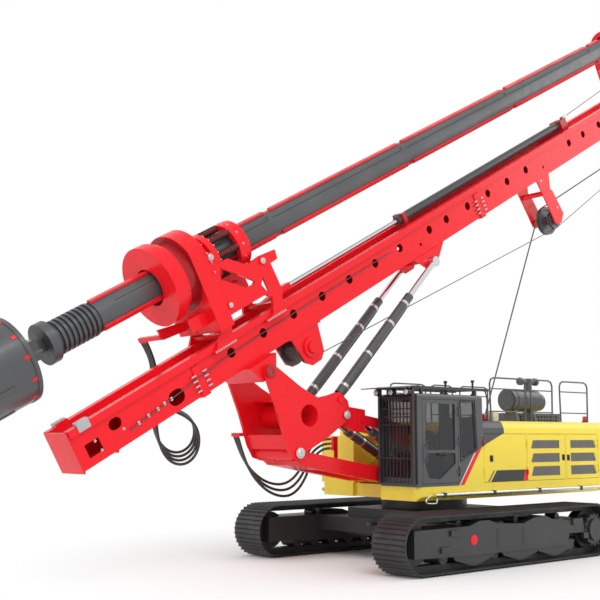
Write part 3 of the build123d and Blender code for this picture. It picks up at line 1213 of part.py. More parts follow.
def bucket():
    """The drilling bucket: its wall with rim, foot band and wear strips, its top plate with gussets and the stub's box."""
    low = BUCKET_TOP - BUCKET_LENGTH
    wall = fuse([round_on_mast(low, BUCKET_TOP, BUCKET_RADIUS), round_on_mast(BUCKET_TOP - 70, BUCKET_TOP, RIM_RADIUS),
                 round_on_mast(low, low + 70, RIM_RADIUS)])
    strips = []
    for i in range(WEAR_STRIPS):
        strip = between(-low - 900, -low - 300, -25, 25, BUCKET_RADIUS - 5, RIM_RADIUS)
        strips.append(MAST * (Pos(0, 0, KELLY_AXIS) * Rot(360 * (i + 0.5) / WEAR_STRIPS, 0, 0) * strip))
    wall = fuse([wall] + strips)
    wall -= round_on_mast(low - 1, BUCKET_TOP - 40, BUCKET_RADIUS - BUCKET_WALL)
    box = on_mast(BUCKET_TOP - 5, -3060, -160, 160, KELLY_AXIS - 160, KELLY_AXIS + 160)
    gussets = []
    for i in range(4):
        gusset = slab([(-BUCKET_TOP + 5, 150), (-BUCKET_TOP - 230, 150), (-BUCKET_TOP - 230, 190),
                       (-BUCKET_TOP - 60, 560), (-BUCKET_TOP + 5, 600)], -20, 20)
        gussets.append(MAST * (Pos(0, 0, KELLY_AXIS) * Rot(90 * i + 45, 0, 0) * gusset))
    rods = [round_on_mast(low + 100, BUCKET_TOP + 260, 24, h=KELLY_AXIS, y=y) for y in (-430, 430)]
    hinge = both_sides(fuse([across_mast(low, KELLY_AXIS + GATE_HINGE, 34, 61, 150),
                             on_mast(low, low + 120, 61, 150, KELLY_AXIS + BUCKET_RADIUS - 25, KELLY_AXIS + GATE_HINGE + 20)]))
    shape = fuse([wall, box] + gussets + rods + hinge)
    return shape - on_mast(-3400 - FIT, -3000, -101, 101, KELLY_AXIS - 101, KELLY_AXIS + 101)


def bucket_gate():
    """The hinged bottom with its teeth and its half of the hinge."""
    low = BUCKET_TOP - BUCKET_LENGTH
    plate = round_on_mast(low - 60, low - 0.5, BUCKET_RADIUS)
    teeth = []
    for i in range(6):
        h = KELLY_AXIS - 520 + i * 208
        tooth = slab([(-low + 55, -40), (-low + 55, 40), (-low + 160, 40), (-low + 230, 0), (-low + 160, -40)], -30, 30)
        teeth.append(MAST * (Pos(0, 0, h) * tooth))
    hinge = fuse([across_mast(low, KELLY_AXIS + GATE_HINGE, 34, -60, 60),
                  on_mast(low - 60, low - 8, -60, 60, KELLY_AXIS + BUCKET_RADIUS - 60, KELLY_AXIS + GATE_HINGE + 10)])
    return fuse([plate, hinge] + teeth)


def kelly_guide():
    """The guide frame that runs on the rails and holds the kelly bar's top."""
    s_low, s_high = KELLY_TOP - 480, KELLY_TOP - 260 - 0.5
    ring = round_on_mast(s_low, s_high, 430) - round_on_mast(s_low - 1, s_high + 1, KEY_RADIUS + 15)
    arms = on_mast(s_low, s_high, CHEEK_INNER + SHOE_PAD, CHEEK_OUTER, 150, KELLY_AXIS)
    bridge = on_mast(s_low, s_high, -CHEEK_INNER - 10, CHEEK_INNER + 10, 1060, 1200)
    claw = on_mast(s_low, s_high, MAST_HALF_WIDTH + 10, CHEEK_INNER + 10, 150, MAST_FACE - 20 - SHOE_PAD)
    return fuse([ring, bridge] + both_sides(arms) + both_sides(claw))


keep("kelly_outer", kelly_outer())
keep("kelly_inner", kelly_inner())
keep("kelly_guide", kelly_guide())
keep("bucket", bucket())
keep("bucket_gate", bucket_gate())


keep("mast_hoses", *[hose(path, f"mast hose {i + 1}") for i, path in enumerate(MAST_ROUTES)])
keep("arm_hoses", *[hose(path, f"arm hose {i + 1}") for i, path in enumerate(ARM_ROUTES)])
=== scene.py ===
import json
import math

import bmesh
import bpy
from bpy.props import FloatProperty, FloatVectorProperty, IntProperty, PointerProperty
from mathutils import Matrix, Vector


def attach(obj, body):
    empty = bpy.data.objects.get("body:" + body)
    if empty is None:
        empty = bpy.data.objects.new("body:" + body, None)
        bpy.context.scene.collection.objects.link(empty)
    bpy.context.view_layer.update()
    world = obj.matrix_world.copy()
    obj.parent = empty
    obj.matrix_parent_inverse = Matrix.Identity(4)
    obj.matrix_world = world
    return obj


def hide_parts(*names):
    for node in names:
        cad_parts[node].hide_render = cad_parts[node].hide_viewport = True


bl_info = {
    "name": "Rotary piling rig",
    "version": (1, 0, 0),
    "blender": (4, 5, 0),
    "location": "View3D > Sidebar > Piling rig",
    "description": "Dresses the packed frame of a tracked rotary piling rig",
    "category": "Object",
}

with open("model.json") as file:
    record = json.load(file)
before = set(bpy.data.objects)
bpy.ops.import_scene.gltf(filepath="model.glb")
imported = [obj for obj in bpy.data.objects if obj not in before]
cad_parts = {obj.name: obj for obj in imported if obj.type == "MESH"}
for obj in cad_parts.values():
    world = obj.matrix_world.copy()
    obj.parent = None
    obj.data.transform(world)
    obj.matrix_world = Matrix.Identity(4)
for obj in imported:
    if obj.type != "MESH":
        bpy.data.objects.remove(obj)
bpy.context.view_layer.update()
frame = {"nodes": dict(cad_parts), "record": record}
NODES = frame["nodes"]
SLOT_OF = {part["node"]: part["material_slot"] for part in frame["record"]["subparts"]}

# Camera, worked out from the photograph's straight and round edges
CAMERA_AT = (15.448, 14.303, 2.333)
CAMERA_YAW = -130.40
CAMERA_PITCH = 7.637
CAMERA_ROLL = 0.02
CAMERA_LENS = 61.4
SENSOR = 36.0

# The mast's own axes: s runs up it, h out of its front, from the middle of its lowest hole
MAST_ZERO = Vector((5.0832, 0, 3.7551))
MAST_UP = Vector((-0.87335, 0, 0.48710))
MAST_OUT = Vector((0.48710, 0, 0.87335))
ACROSS = Vector((0, 1, 0))
KELLY_AXIS = 1.583
KELLY_RADIUS = 0.260
BUCKET_RADIUS = 0.680
CHEEK_OUTER = 0.455
CROWD_AXIS = 0.43
MOTOR_Y = 0.25
MOTOR_AXIS = 0.983

# The sheaves and the auxiliary winch, each by its places up the mast and out of its front
REAR_SHEAVE = (10.031, -1.419)
REAR_SHEAVE_RADIUS = 0.33
HEAD_SHEAVE_RADIUS = 0.35
HEAD_REAR_SHEAVE = (19.6, -0.8)
HEAD_FRONT_SHEAVE = (19.6, KELLY_AXIS - HEAD_SHEAVE_RADIUS)
HEAD_SMALL_SHEAVE = (19.25, 0.8)
SMALL_SHEAVE_RADIUS = 0.21
THIN_ROPE_Y = 0.21
AUX_WINCH_S = 1.69

# The boom's pins by their X and Z, and the ends of its cylinders
ARM_ROOT = (1.1, 1.64)
ARM_TIP = (3.7803, 2.0597)
LINK_ROOT = (-0.013, 2.317)
LINK_TIP = (2.667, 2.737)
MAST_HINGE = (4.4393, 3.4547)
TRIANGLE_SIDE = 0.613
MAST_FOOT, MAST_EYE = Vector((2.8073, 0, 3.0107)), Vector((0.0487, 0, 5.8761))
LUFF_FOOT, LUFF_EYE = Vector((0.4, 0, 1.7)), Vector((2.1872, 0, 2.6615))
BAND_SHARES = (0.12, 0.42, 0.72, 0.92)

# The housings' sides and roof, the heights of the vents' three rows, and the outsides of the track frames
SIDE = 1.5
ROOF = 2.65
VENT_ROWS = ((1.564, 1.753), (1.834, 2.012), (2.110, 2.275))
FRAME_SIDE = 2.245
FINAL_DRIVE = (-2.505, 0.515)
FINAL_DRIVE_BOLTS = 0.30

# The stage's lamps: name, place, width and power
LAMPS = (("key_lamp", (14, 20, 22), 14, 3000), ("fill_lamp", (24, -8, 14), 16, 1200),
         ("rear_lamp", (-22, 8, 18), 16, 1300))
LAMPS_AIM = Vector((0, 0, 3))

# The hanging hoses, as the source has them: places in metres beside the arm and beside the mast
HOSE_DIAMETER = 0.050
HOSE_SPREAD = 0.070
HOSE_STEP = 0.052
HOSE_STACK = 0.090
ARM_HOSE_Y = 0.694
ARM_HOSES = ((4.200, 2.338, 0), (4.112, 2.120, 0), (3.990, 1.880, 0), (3.800, 1.640, 0), (3.520, 1.440, 0),
             (3.190, 1.345, 0.035), (2.880, 1.360, 0.090), (2.620, 1.480, 0.155), (2.410, 1.655, 0.220),
             (2.260, 1.840, 0.270), (2.135, 2.000, 0.320), (2.020, 2.130, 0.255), (1.960, 2.210, 0.100),
             (1.960, 2.210, -0.094))
ARM_HOSE_LENGTHS = (3.299, 3.377, 3.461)
MAST_HOSE_Y = 0.910
MAST_HOSES = ((-0.742, 0.640), (-0.727, 0.380), (-0.797, 0.110), (-0.962, -0.210), (-1.137, -0.520),
              (-1.262, -0.820), (-1.292, -1.110), (-1.202, -1.360), (-0.992, -1.510), (-0.732, -1.500),
              (-0.532, -1.330), (-0.472, -1.070), (-0.600, -0.820), (-0.810, -0.630), (-0.925, -0.375))
MAST_HOSE_LENGTHS = (3.813, 3.918, 4.025, 4.135)


def on_mast(s, y, h):
    """A point from its place on the mast."""
    return MAST_ZERO + MAST_UP * s + MAST_OUT * h + ACROSS * y


def round_kelly(s, radius, degrees):
    """A point about the kelly bar's axis, its angle counted from the cab's side towards the front."""
    turn = math.radians(degrees)
    return on_mast(s, radius * math.cos(turn), KELLY_AXIS + radius * math.sin(turn))


def away_from_kelly(degrees):
    turn = math.radians(degrees)
    return ACROSS * math.cos(turn) + MAST_OUT * math.sin(turn)


def paint_colour(name, description, default):
    """A colour that the panel can change."""
    return FloatVectorProperty(name=name, description=description, subtype="COLOR", size=3, min=0, max=1,
                               default=default)


class RigColours(bpy.types.PropertyGroup):
    """The colours of the machine's paints and steels"""

    red: paint_colour("Red paint", "Mast, drive and boom", (0.86, 0.008, 0.017))
    yellow: paint_colour("Yellow paint", "Side housings and platform", (0.92, 0.72, 0.060))
    dark: paint_colour("Dark paint", "Cab, cylinders and rails", (0.068, 0.070, 0.073))
    black: paint_colour("Black paint", "Guards and carrier", (0.030, 0.030, 0.032))
    frame_grey: paint_colour("Track frame bolts", "Bolts of the final drives", (0.070, 0.070, 0.072))
    track: paint_colour("Track steel", "Shoes and chains", (0.052, 0.051, 0.052))
    kelly: paint_colour("Kelly steel", "Kelly bar and bucket", (0.080, 0.082, 0.086))


class RigSizes(bpy.types.PropertyGroup):
    """Sizes of the small parts that are added to the frame"""

    rope: FloatProperty(name="Main rope", description="Diameter of the kelly bar's rope", default=0.032,
                        min=0.01, subtype="DISTANCE", unit="LENGTH")
    thin_rope: FloatProperty(name="Auxiliary rope", description="Diameter of the auxiliary rope",
                             default=0.018, min=0.01, subtype="DISTANCE", unit="LENGTH")
    bolt: FloatProperty(name="Bolt", description="Radius of a large bolt's head", default=0.018, min=0.005,
                        subtype="DISTANCE", unit="LENGTH")
    flange_bolts: IntProperty(name="Flange bolts", description="Bolts round the spring cage's lower flange",
                              default=20, min=6)


class Finish:
    """One paint, metal, glass or rubber: a shader and the patterns that feed it."""

    def __init__(self, name):
        self.name = name
        self.material = bpy.data.materials.new(name)
        self.material.use_nodes = True
        self.nodes, self.links = self.material.node_tree.nodes, self.material.node_tree.links
        self.nodes.clear()
        output = self.nodes.new("ShaderNodeOutputMaterial")
        self.shader = self.nodes.new("ShaderNodeBsdfPrincipled")
        self.links.new(self.shader.outputs["BSDF"], output.inputs["Surface"])
        self.where = self.nodes.new("ShaderNodeTexCoord").outputs["Object"]

    def node(self, kind, inputs, output=0, **settings):
        """A node with its settings made and its inputs fed by values or other nodes."""
        made = self.nodes.new(kind)
        for name, value in settings.items():
            setattr(made, name, value)
        for name, value in inputs.items():
            if isinstance(value, bpy.types.NodeSocket):
                self.links.new(value, made.inputs[name])
            else:
                made.inputs[name].default_value = value
        return made.outputs[output]

    def noise(self, scale, detail=4.0):
        inputs = {"Vector": self.where, "Scale": scale, "Detail": detail}
        return self.node("ShaderNodeTexNoise", inputs, "Fac")

    def stretched_noise(self, direction_scales, scale):
        """Noise drawn out along one axis, as in brushed steel or wood."""
        moved = self.node("ShaderNodeMapping", {"Vector": self.where, "Scale": direction_scales})
        return self.node("ShaderNodeTexNoise", {"Vector": moved, "Scale": scale, "Detail": 3.0}, "Fac")

    def between(self, value, low, high, start=0.3, stop=0.7):
        """A value spread from low to high."""
        return self.node("ShaderNodeMapRange", {"Value": value, "From Min": start, "From Max": stop,
                                                "To Min": low, "To Max": high}, "Result")

    def sum(self, a, b, operation="ADD"):
        return self.node("ShaderNodeMath", {0: a, 1: b}, operation=operation)

    def along(self, direction, start=0.0):
        """How far a point lies in a direction, past a start."""
        way = self.node("ShaderNodeVectorMath", {0: self.where, 1: direction}, "Value",
                        operation="DOT_PRODUCT")
        return self.sum(way, start, "SUBTRACT")

    def from_axis(self, h):
        """How far a point lies from the line that runs up the mast at a height out of its front."""
        out = self.along(MAST_OUT, MAST_OUT.dot(MAST_ZERO) + h)
        place = self.node("ShaderNodeCombineXYZ", {0: self.along(ACROSS), 1: out})
        return self.node("ShaderNodeVectorMath", {0: place}, "Value", operation="LENGTH")

    def past(self, value, edge, soft=0.003):
        """1 where a value is past an edge, and 0 before it."""
        return self.between(value, 0.0, 1.0, edge - soft, edge + soft)

    def before(self, value, edge, soft=0.003):
        return self.between(value, 1.0, 0.0, edge - soft, edge + soft)

    def within(self, value, low, high, soft=0.003):
        return self.every(self.past(value, low, soft), self.before(value, high, soft))

    def every(self, first, *rest):
        for mask in rest:
            first = self.sum(first, mask, "MULTIPLY")
        return first

    def either(self, first, *rest):
        for mask in rest:
            first = self.sum(first, mask, "MAXIMUM")
        return first

    def layer(self, under, colour, mask):
        """A colour over another where its mask is 1."""
        below = under if isinstance(under, bpy.types.NodeSocket) else (*under, 1)
        return self.node("ShaderNodeMix", {6: below, 7: (*colour, 1), 0: mask}, 2, data_type="RGBA")

    def paint(self, colour, spread=0.06, mottle=1.1):
        """Sends a colour to the shader, lighter and darker in soft patches."""
        drift = self.node("ShaderNodeCombineColor", dict.fromkeys((0, 1, 2), self.between(
            self.noise(mottle), 1 - spread, 1 + spread)))
        base = colour if isinstance(colour, bpy.types.NodeSocket) else (*colour, 1)
        mixed = self.node("ShaderNodeMix", {0: 1.0, 6: base, 7: drift}, 2, data_type="RGBA",
                          blend_type="MULTIPLY")
        self.links.new(mixed, self.shader.inputs["Base Color"])

    def gloss(self, low, high, scale=9.0):
        self.links.new(self.between(self.noise(scale), low, high), self.shader.inputs["Roughness"])

    def relief(self, height, depth, strength=0.3):
        inputs = {"Height": height, "Strength": strength, "Distance": depth}
        self.links.new(self.node("ShaderNodeBump", inputs, "Normal"), self.shader.inputs["Normal"])

    def set(self, **values):
        for name, value in values.items():
            self.shader.inputs[name.replace("_", " ")].default_value = value

    def coat(self, rough, weight, shine, grain=180.0, metal=0.0):
        """A gloss that breaks up, a fine grain and a clear coat."""
        self.gloss(*rough)
        self.relief(self.noise(grain, 2.0), 0.0005, 0.14)
        self.set(Metallic=metal, Coat_Weight=weight, Coat_Roughness=0.12, Specular_IOR_Level=shine)


def coated(name, colour, rough=(0.28, 0.40), coat=0.3, spread=0.05, grain=180.0, metal=0.0, mottle=1.1,
           shine=0.5):
    """A plain paint or steel, which drifts in colour."""
    finish = Finish(name)
    finish.paint(colour, spread, mottle)
    finish.coat(rough, coat, shine, grain, metal)
    return finish


FINISHES = {}


def finish_named(name):
    """A finished material by name, made once."""
    return FINISHES[name].material


def facing(direction, at=(0, 0, 0)):
    """The place of a shape whose own Z points in a direction."""
    return Matrix.Translation(at) @ Vector(direction).to_track_quat("Z", "Y").to_matrix().to_4x4()


def mast_place(s, y, h):
    """The place of a shape on the mast: its X runs up the mast, its Y across it and its Z to the back."""
    turn = Matrix((MAST_UP, ACROSS, MAST_UP.cross(ACROSS))).transposed()
    return Matrix.Translation(on_mast(s, y, h)) @ turn.to_4x4()


def join(shape, part, place):
    """Puts a part in its place in a larger shape."""
    part.transform(place)
    mesh = bpy.data.meshes.new("part")
    part.to_mesh(mesh)
    part.free()
    shape.from_mesh(mesh)
    bpy.data.meshes.remove(mesh)


def block(shape, low, high, place=Matrix(), edge=0.004):
    """A box with eased edges between two corners."""
    part = bmesh.new()
    bmesh.ops.create_cube(part, size=1)
    low, high = Vector(low), Vector(high)
    bmesh.ops.scale(part, vec=high - low, verts=part.verts)
    bmesh.ops.translate(part, vec=(low + high) / 2, verts=part.verts)
    bmesh.ops.bevel(part, geom=part.edges, offset=edge, affect="EDGES", segments=2, profile=0.5, material=-1)
    join(shape, part, place)


def lathe(shape, profile, place, steps=24):
    """A profile of (radius, height) points turned round its own Z."""
    part = bmesh.new()
    corners = [part.verts.new((radius, 0, height)) for radius, height in profile]
    edges = [part.edges.new(pair) for pair in zip(corners, corners[1:])]
    bmesh.ops.spin(part, geom=corners + edges, axis=(0, 0, 1), cent=(0, 0, 0), angle=2 * math.pi, steps=steps,
                   use_merge=True)
    bmesh.ops.remove_doubles(part, verts=part.verts, dist=1e-5)
    bmesh.ops.recalc_face_normals(part, faces=part.faces)
    join(shape, part, place)


def bolt(shape, at, along, size=0.018):
    """A hexagon head on its washer."""
    place = facing(along, at)
    washer, head = (12, 1.35, 1.35, 0.3, 0.15), (6, 1, 0.92, 1.1, 0.75)
    for segments, low, high, depth, lift in (washer, head):
        bmesh.ops.create_cone(shape, cap_ends=True, segments=segments, radius1=size * low,
                              radius2=size * high, depth=size * depth,
                              matrix=place @ Matrix.Translation((0, 0, size * lift)))


def stud(shape, s, y, h, long=0.10, radius=0.013):
    """A stud and its nuts, lying along the mast."""
    profile = [(0, 0), (radius, 0), (radius, long), (0, long)]
    lathe(shape, profile, facing(MAST_UP, on_mast(s - long / 2, y, h)), 8)


def pin(shape, at, along, radius):
    """The end of a large pin: a domed washer, its rim and the grease hole in the middle."""
    lathe(shape, [(0, 0.10), (0.12, 0.10), (0.16, 0.16), (0.2, 0.30), (0.62, 0.30), (0.7, 0.24), (0.75, 0.12),
                  (0.95, 0.12), (1.0, 0.04), (1.0, -0.10), (0, -0.10)],
          facing(along, at) @ Matrix.Scale(radius, 4), 28)


def piece(name, shape, body, finish, smooth=None):
    """Makes a shape a piece of the machine, riding on one of its bodies."""
    mesh = bpy.data.meshes.new(name)
    shape.to_mesh(mesh)
    shape.free()
    mesh.materials.append(finish_named(finish))
    if smooth is not None:
        mesh.shade_smooth()
        mesh.set_sharp_from_angle(angle=math.radians(smooth))
    made = bpy.data.objects.new(name, mesh)
    bpy.context.scene.collection.objects.link(made)
    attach(made, body)
    return made


def pipe(name, routes, radius, body, finish, bent=True):
    """Pipes, ropes or bars along their own routes."""
    curve = bpy.data.curves.new(name, "CURVE")
    curve.dimensions = "3D"
    curve.bevel_depth = radius
    curve.bevel_resolution = 3
    curve.use_fill_caps = True
    for route in routes:
        spline = curve.splines.new("NURBS" if bent else "POLY")
        spline.points.add(len(route) - 1)
        for point, at in zip(spline.points, route):
            point.co = (*at, 1)
        if bent:
            spline.order_u = 3
            spline.use_endpoint_u = True
            spline.resolution_u = 6
    curve.materials.append(finish_named(finish))
    made = bpy.data.objects.new(name, curve)
    bpy.context.scene.collection.objects.link(made)
    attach(made, body)
    return made


def side_paint(colours):
    """The side panels' yellow, with a dark shoulder, stripes behind the cab, a panel and dark vents."""
    finish = Finish("side_paint")
    x, y, z = (finish.along(axis) for axis in ((1, 0, 0), (0, 1, 0), (0, 0, 1)))
    out, left = finish.sum(y, 0.0, "ABSOLUTE"), finish.past(y, 0.5)
    red, black = tuple(colours.red), tuple(colours.black)
    shoulder = finish.every(left, finish.past(x, -0.705), finish.past(finish.along((0.385, 0, 1)), 2.146))
    paint = finish.layer(tuple(colours.yellow), tuple(colours.dark), shoulder)
    slant = finish.along((0.795, 0, 0.606))
    wedge = finish.every(left, finish.past(x, -0.06), finish.past(slant, 1.282), finish.past(z, 1.445))
    paint = finish.layer(paint, red, wedge)
    paint = finish.layer(paint, (0.82, 0.82, 0.80), finish.every(wedge, finish.past(slant, 1.376)))
    flat = finish.past(out, SIDE - 0.01)
    edge = finish.along((1, 0, 0.848))
    panel = finish.every(left, flat, finish.past(x, -1.422), finish.within(z, 1.480, 1.700),
                         finish.before(edge, 0.993))
    paint = finish.layer(paint, black, panel)
    corner = finish.before(finish.along((1, 0, 0.336)), -0.771)
    paint = finish.layer(paint, red, finish.every(panel, corner))
    slash = finish.every(left, flat, finish.within(z, 1.490, 1.700), finish.within(edge, 1.045, 1.085))
    paint = finish.layer(paint, black, slash)
    for low, high in VENT_ROWS:
        row = finish.every(finish.past(out, SIDE - 0.05), finish.within(z, low, high))
        front = finish.every(finish.past(x, -2.49),
                             finish.before(finish.along((1, 0, 0.4), 0.4 * low), -1.54))
        rear = finish.every(finish.past(finish.along((1, 0, -0.4), -0.4 * low), -3.80),
                            finish.before(x, -2.88))
        paint = finish.layer(paint, (0.155, 0.150, 0.138), finish.every(row, finish.either(front, rear)))
    finish.paint(paint, 0.035)
    finish.coat((0.24, 0.36), 0.15, 0.35, 160.0)
    return finish


def kelly_paint(colours):
    """Dark steel, with the drive keys that stand out of the tube in red paint worn along their middle."""
    finish = Finish("kelly_paint")
    radius = finish.from_axis(KELLY_AXIS)
    wear = finish.between(finish.stretched_noise((1, 1, 1), 2.4), 0.55, 1.0, 0.25, 0.5)
    keys = finish.every(finish.past(radius, KELLY_RADIUS + 0.006), finish.before(radius, 0.302), wear)
    finish.paint(finish.layer(tuple(colours.kelly), tuple(colours.red), keys), 0.16, 0.8)
    finish.gloss(0.30, 0.48, 5.0)
    finish.relief(finish.stretched_noise(MAST_OUT + ACROSS, 40.0), 0.0008)
    finish.set(Metallic=0.25, Coat_Weight=0.15, Coat_Roughness=0.2)
    return finish


def drive_paint_and_shade(colours):
    """The drive's red paint, with painted shade: a deeper red on the taper between its disc and its casing,
    and on the core of its lower end.
    """
    finish = Finish("drive_paint_and_shade")
    radius = finish.from_axis(KELLY_AXIS)
    s = finish.along(MAST_UP, MAST_UP.dot(MAST_ZERO))
    # Painted shade: the taper between disc and casing and the core of the lower end get a deeper red (0.36,
    # 0.010, 0.014), which stands in for shade rather than a second paint.
    cone_shade = finish.every(finish.within(s, -0.556, -0.205), finish.before(radius, 0.668))
    hub_shade = finish.every(finish.before(s, -0.70), finish.before(radius, 0.33))
    finish.paint(finish.layer(tuple(colours.red), (0.36, 0.010, 0.014), finish.either(cone_shade, hub_shade)), 0.03)
    finish.coat((0.24, 0.34), 0.1, 0.26)
    return finish


def barrel_paint(colours):
    """The crowd cylinder: a dark barrel between red brackets."""
    finish = Finish("barrel_paint")
    bracket = finish.past(finish.from_axis(CROWD_AXIS), 0.106)
    finish.paint(finish.layer(tuple(colours.dark), (0.50, 0.010, 0.016), bracket), 0.05)
    finish.coat((0.26, 0.38), 0.1, 0.35)
    return finish


def glass():
    """Tinted glass, with a faint film over it."""
    finish = Finish("tinted_glass")
    finish.paint((0.020, 0.024, 0.026), 0.15)
    finish.gloss(0.03, 0.08, 2.0)
    finish.links.new(finish.between(finish.noise(1.3), 0.36, 0.44), finish.shader.inputs["Alpha"])
    finish.set(Coat_Weight=0.6, Coat_Roughness=0.02)
    return finish


def lens(name, colour):
    """A moulded lamp lens with fine ribs."""
    finish = Finish(name)
    finish.paint(colour, 0.05, 8.0)
    finish.gloss(0.06, 0.14, 20.0)
    ribs = finish.node("ShaderNodeTexWave", {"Vector": finish.where, "Scale": 18.0}, "Fac")
    finish.relief(ribs, 0.001, 0.4)
    finish.set(Coat_Weight=0.8, Coat_Roughness=0.03)
    return finish


def wire_rope(name):
    """Laid wire rope: its strands show as slanting ribs."""
    finish = Finish(name)
    inputs = {"Vector": finish.where, "Scale": 9.0, "Distortion": 0.6, "Detail": 1.0}
    strands = finish.node("ShaderNodeTexWave", inputs, "Fac", bands_direction="DIAGONAL")
    finish.paint((0.115, 0.112, 0.108), 0.2, 30.0)
    finish.gloss(0.35, 0.55)
    finish.relief(strands, 0.003, 0.6)
    finish.set(Metallic=0.6)
    return finish


def rubber(name, colour):
    """Hose cover: smooth black rubber with a fine braid under it and bright highlights."""
    finish = Finish(name)
    finish.paint(colour, 0.2, 6.0)
    finish.gloss(0.22, 0.36, 14.0)
    finish.relief(finish.noise(420.0, 1.0), 0.0004, 0.35)
    finish.set(Specular_IOR_Level=0.6, Coat_Weight=0.2, Coat_Roughness=0.2)
    return finish


class RIG_OT_finishes(bpy.types.Operator):
    """Make the paints, steels, glass and rubber, and give every CAD node its own"""

    bl_idname = "rig.finishes"
    bl_label = "Finishes"

    def execute(self, context):
        colours = context.scene.rig_colours
        red, dark, black = tuple(colours.red), tuple(colours.dark), tuple(colours.black)
        made = (coated("red_paint", red, (0.24, 0.34), 0.10, 0.03, shine=0.26),
                coated("dark_red_paint", (0.30, 0.012, 0.014), (0.3, 0.42)),
                coated("dark_paint", dark, (0.30, 0.44), 0.2, 0.10),
                coated("black_paint", black, (0.38, 0.52), 0.1, 0.14),
                coated("frame_paint", tuple(colours.frame_grey), (0.34, 0.48), 0.15, 0.12),
                coated("track_steel", tuple(colours.track), (0.40, 0.58), 0.0, 0.22, 60.0, 0.35, 3.0),
                coated("bucket_steel", tuple(colours.kelly), (0.32, 0.48), 0.1, 0.14, 90.0, 0.3),
                coated("rod_steel", (0.66, 0.67, 0.69), (0.07, 0.14), 0.0, 0.03, 300.0, 1.0),
                coated("zinc", (0.60, 0.60, 0.58), (0.22, 0.38), 0.0, 0.08, 220.0, 0.85),
                coated("grey_paint", (0.42, 0.43, 0.44), (0.3, 0.42), 0.2),
                coated("cream_paint", (0.70, 0.64, 0.47), (0.3, 0.42), 0.2),
                coated("seat_trim", (0.034, 0.034, 0.037), (0.6, 0.78), 0.0, 0.14, 500.0),
                coated("seal_rubber", (0.018, 0.018, 0.019), (0.55, 0.7), 0.0, 0.15),
                rubber("hose_rubber", (0.016, 0.016, 0.017)), wire_rope("wire_rope"), glass(),
                lens("clear_lens", (0.62, 0.64, 0.66)), lens("red_lens", (0.62, 0.02, 0.012)),
                side_paint(colours), kelly_paint(colours), drive_paint_and_shade(colours), barrel_paint(colours))
        FINISHES.update((finish.name, finish) for finish in made)
        by_slot = {"yellow_paint": "side_paint", "kelly_steel": "bucket_steel", "cab_glass": "tinted_glass"}
        own = {"kelly_outer": "kelly_paint", "drive_gearbox": "drive_paint_and_shade", "crowd_barrel": "barrel_paint"}
        for node, slot in SLOT_OF.items():
            materials = NODES[node].data.materials
            materials.clear()
            materials.append(finish_named(own.get(node, by_slot.get(slot, slot))))
        return {"FINISHED"}


def hose_route(points, count, number, stack, place, tail):
    """One hose of a bundle: spread where it hangs, beside its neighbour where it ends."""
    apart = number - (count - 1) / 2
    last = len(points) - 1 - tail
    route = []
    for step, point in enumerate(points):
        share = min(1, step / last)
        lower = apart * (HOSE_SPREAD * math.sin(math.pi * share) + stack * share)
        beside = apart * HOSE_STEP * (1 - share ** 4 if stack else 1)
        route.append(place(point, beside) - Vector((0, 0, lower)))
    return route


def arm_hose_place(point, beside):
    x, z, out = point
    return Vector((x, beside - ARM_HOSE_Y - out, z))


def mast_hose_place(point, beside):
    return on_mast(point[0], beside - MAST_HOSE_Y, point[1])


class RIG_OT_hoses(bpy.types.Operator):
    """Hang the hydraulic hoses between the arm, the mast and the drive"""

    bl_idname = "rig.hoses"
    bl_label = "Hoses"

    def execute(self, context):
        bundles = (("mast_hose", MAST_HOSES, MAST_HOSE_LENGTHS, 0, 0, mast_hose_place, "mast", "mast_hoses"),
                   ("arm_hose", ARM_HOSES, ARM_HOSE_LENGTHS, HOSE_STACK, 1, arm_hose_place, "triangle",
                    "arm_hoses"))
        for name, points, lengths, stack, tail, place, body, node in bundles:
            for number, length in enumerate(lengths):
                route = hose_route(points, len(lengths), number, stack, place, tail)
                hose = pipe(f"{name}_{number + 1}", [route], HOSE_DIAMETER / 2, body, "hose_rubber")
                hose.data.splines[0].resolution_u = 12
                hose.data.bevel_resolution = 5
                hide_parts(node)
        return {"FINISHED"}


def winding(name, at, core, half, rope, body):
    """A layer of rope laid side by side on a drum."""
    shape = bmesh.new()
    turns = int(2 * half / rope)
    profile = []
    for turn in range(turns + 1):
        start = -half + turn * 2 * half / turns
        profile += [(core + rope * 0.35, start), (core + rope, start + rope * 0.28),
                    (core + rope, start + rope * 0.72)]
    profile = [(core * 0.9, -half)] + profile[:-2] + [(core * 0.9, half)]
    lathe(shape, profile, facing(ACROSS, at), 40)
    piece(name, shape, body, "wire_rope", 50)


def over_sheave(sheave, y, radius, start, stop, steps):
    """Points round a sheave on the mast, its angles counted from up the mast towards the front."""
    s, h = sheave
    turns = (math.radians(start + (stop - start) * step / steps) for step in range(steps + 1))
    return [on_mast(s + radius * math.cos(turn), y, h + radius * math.sin(turn)) for turn in turns]


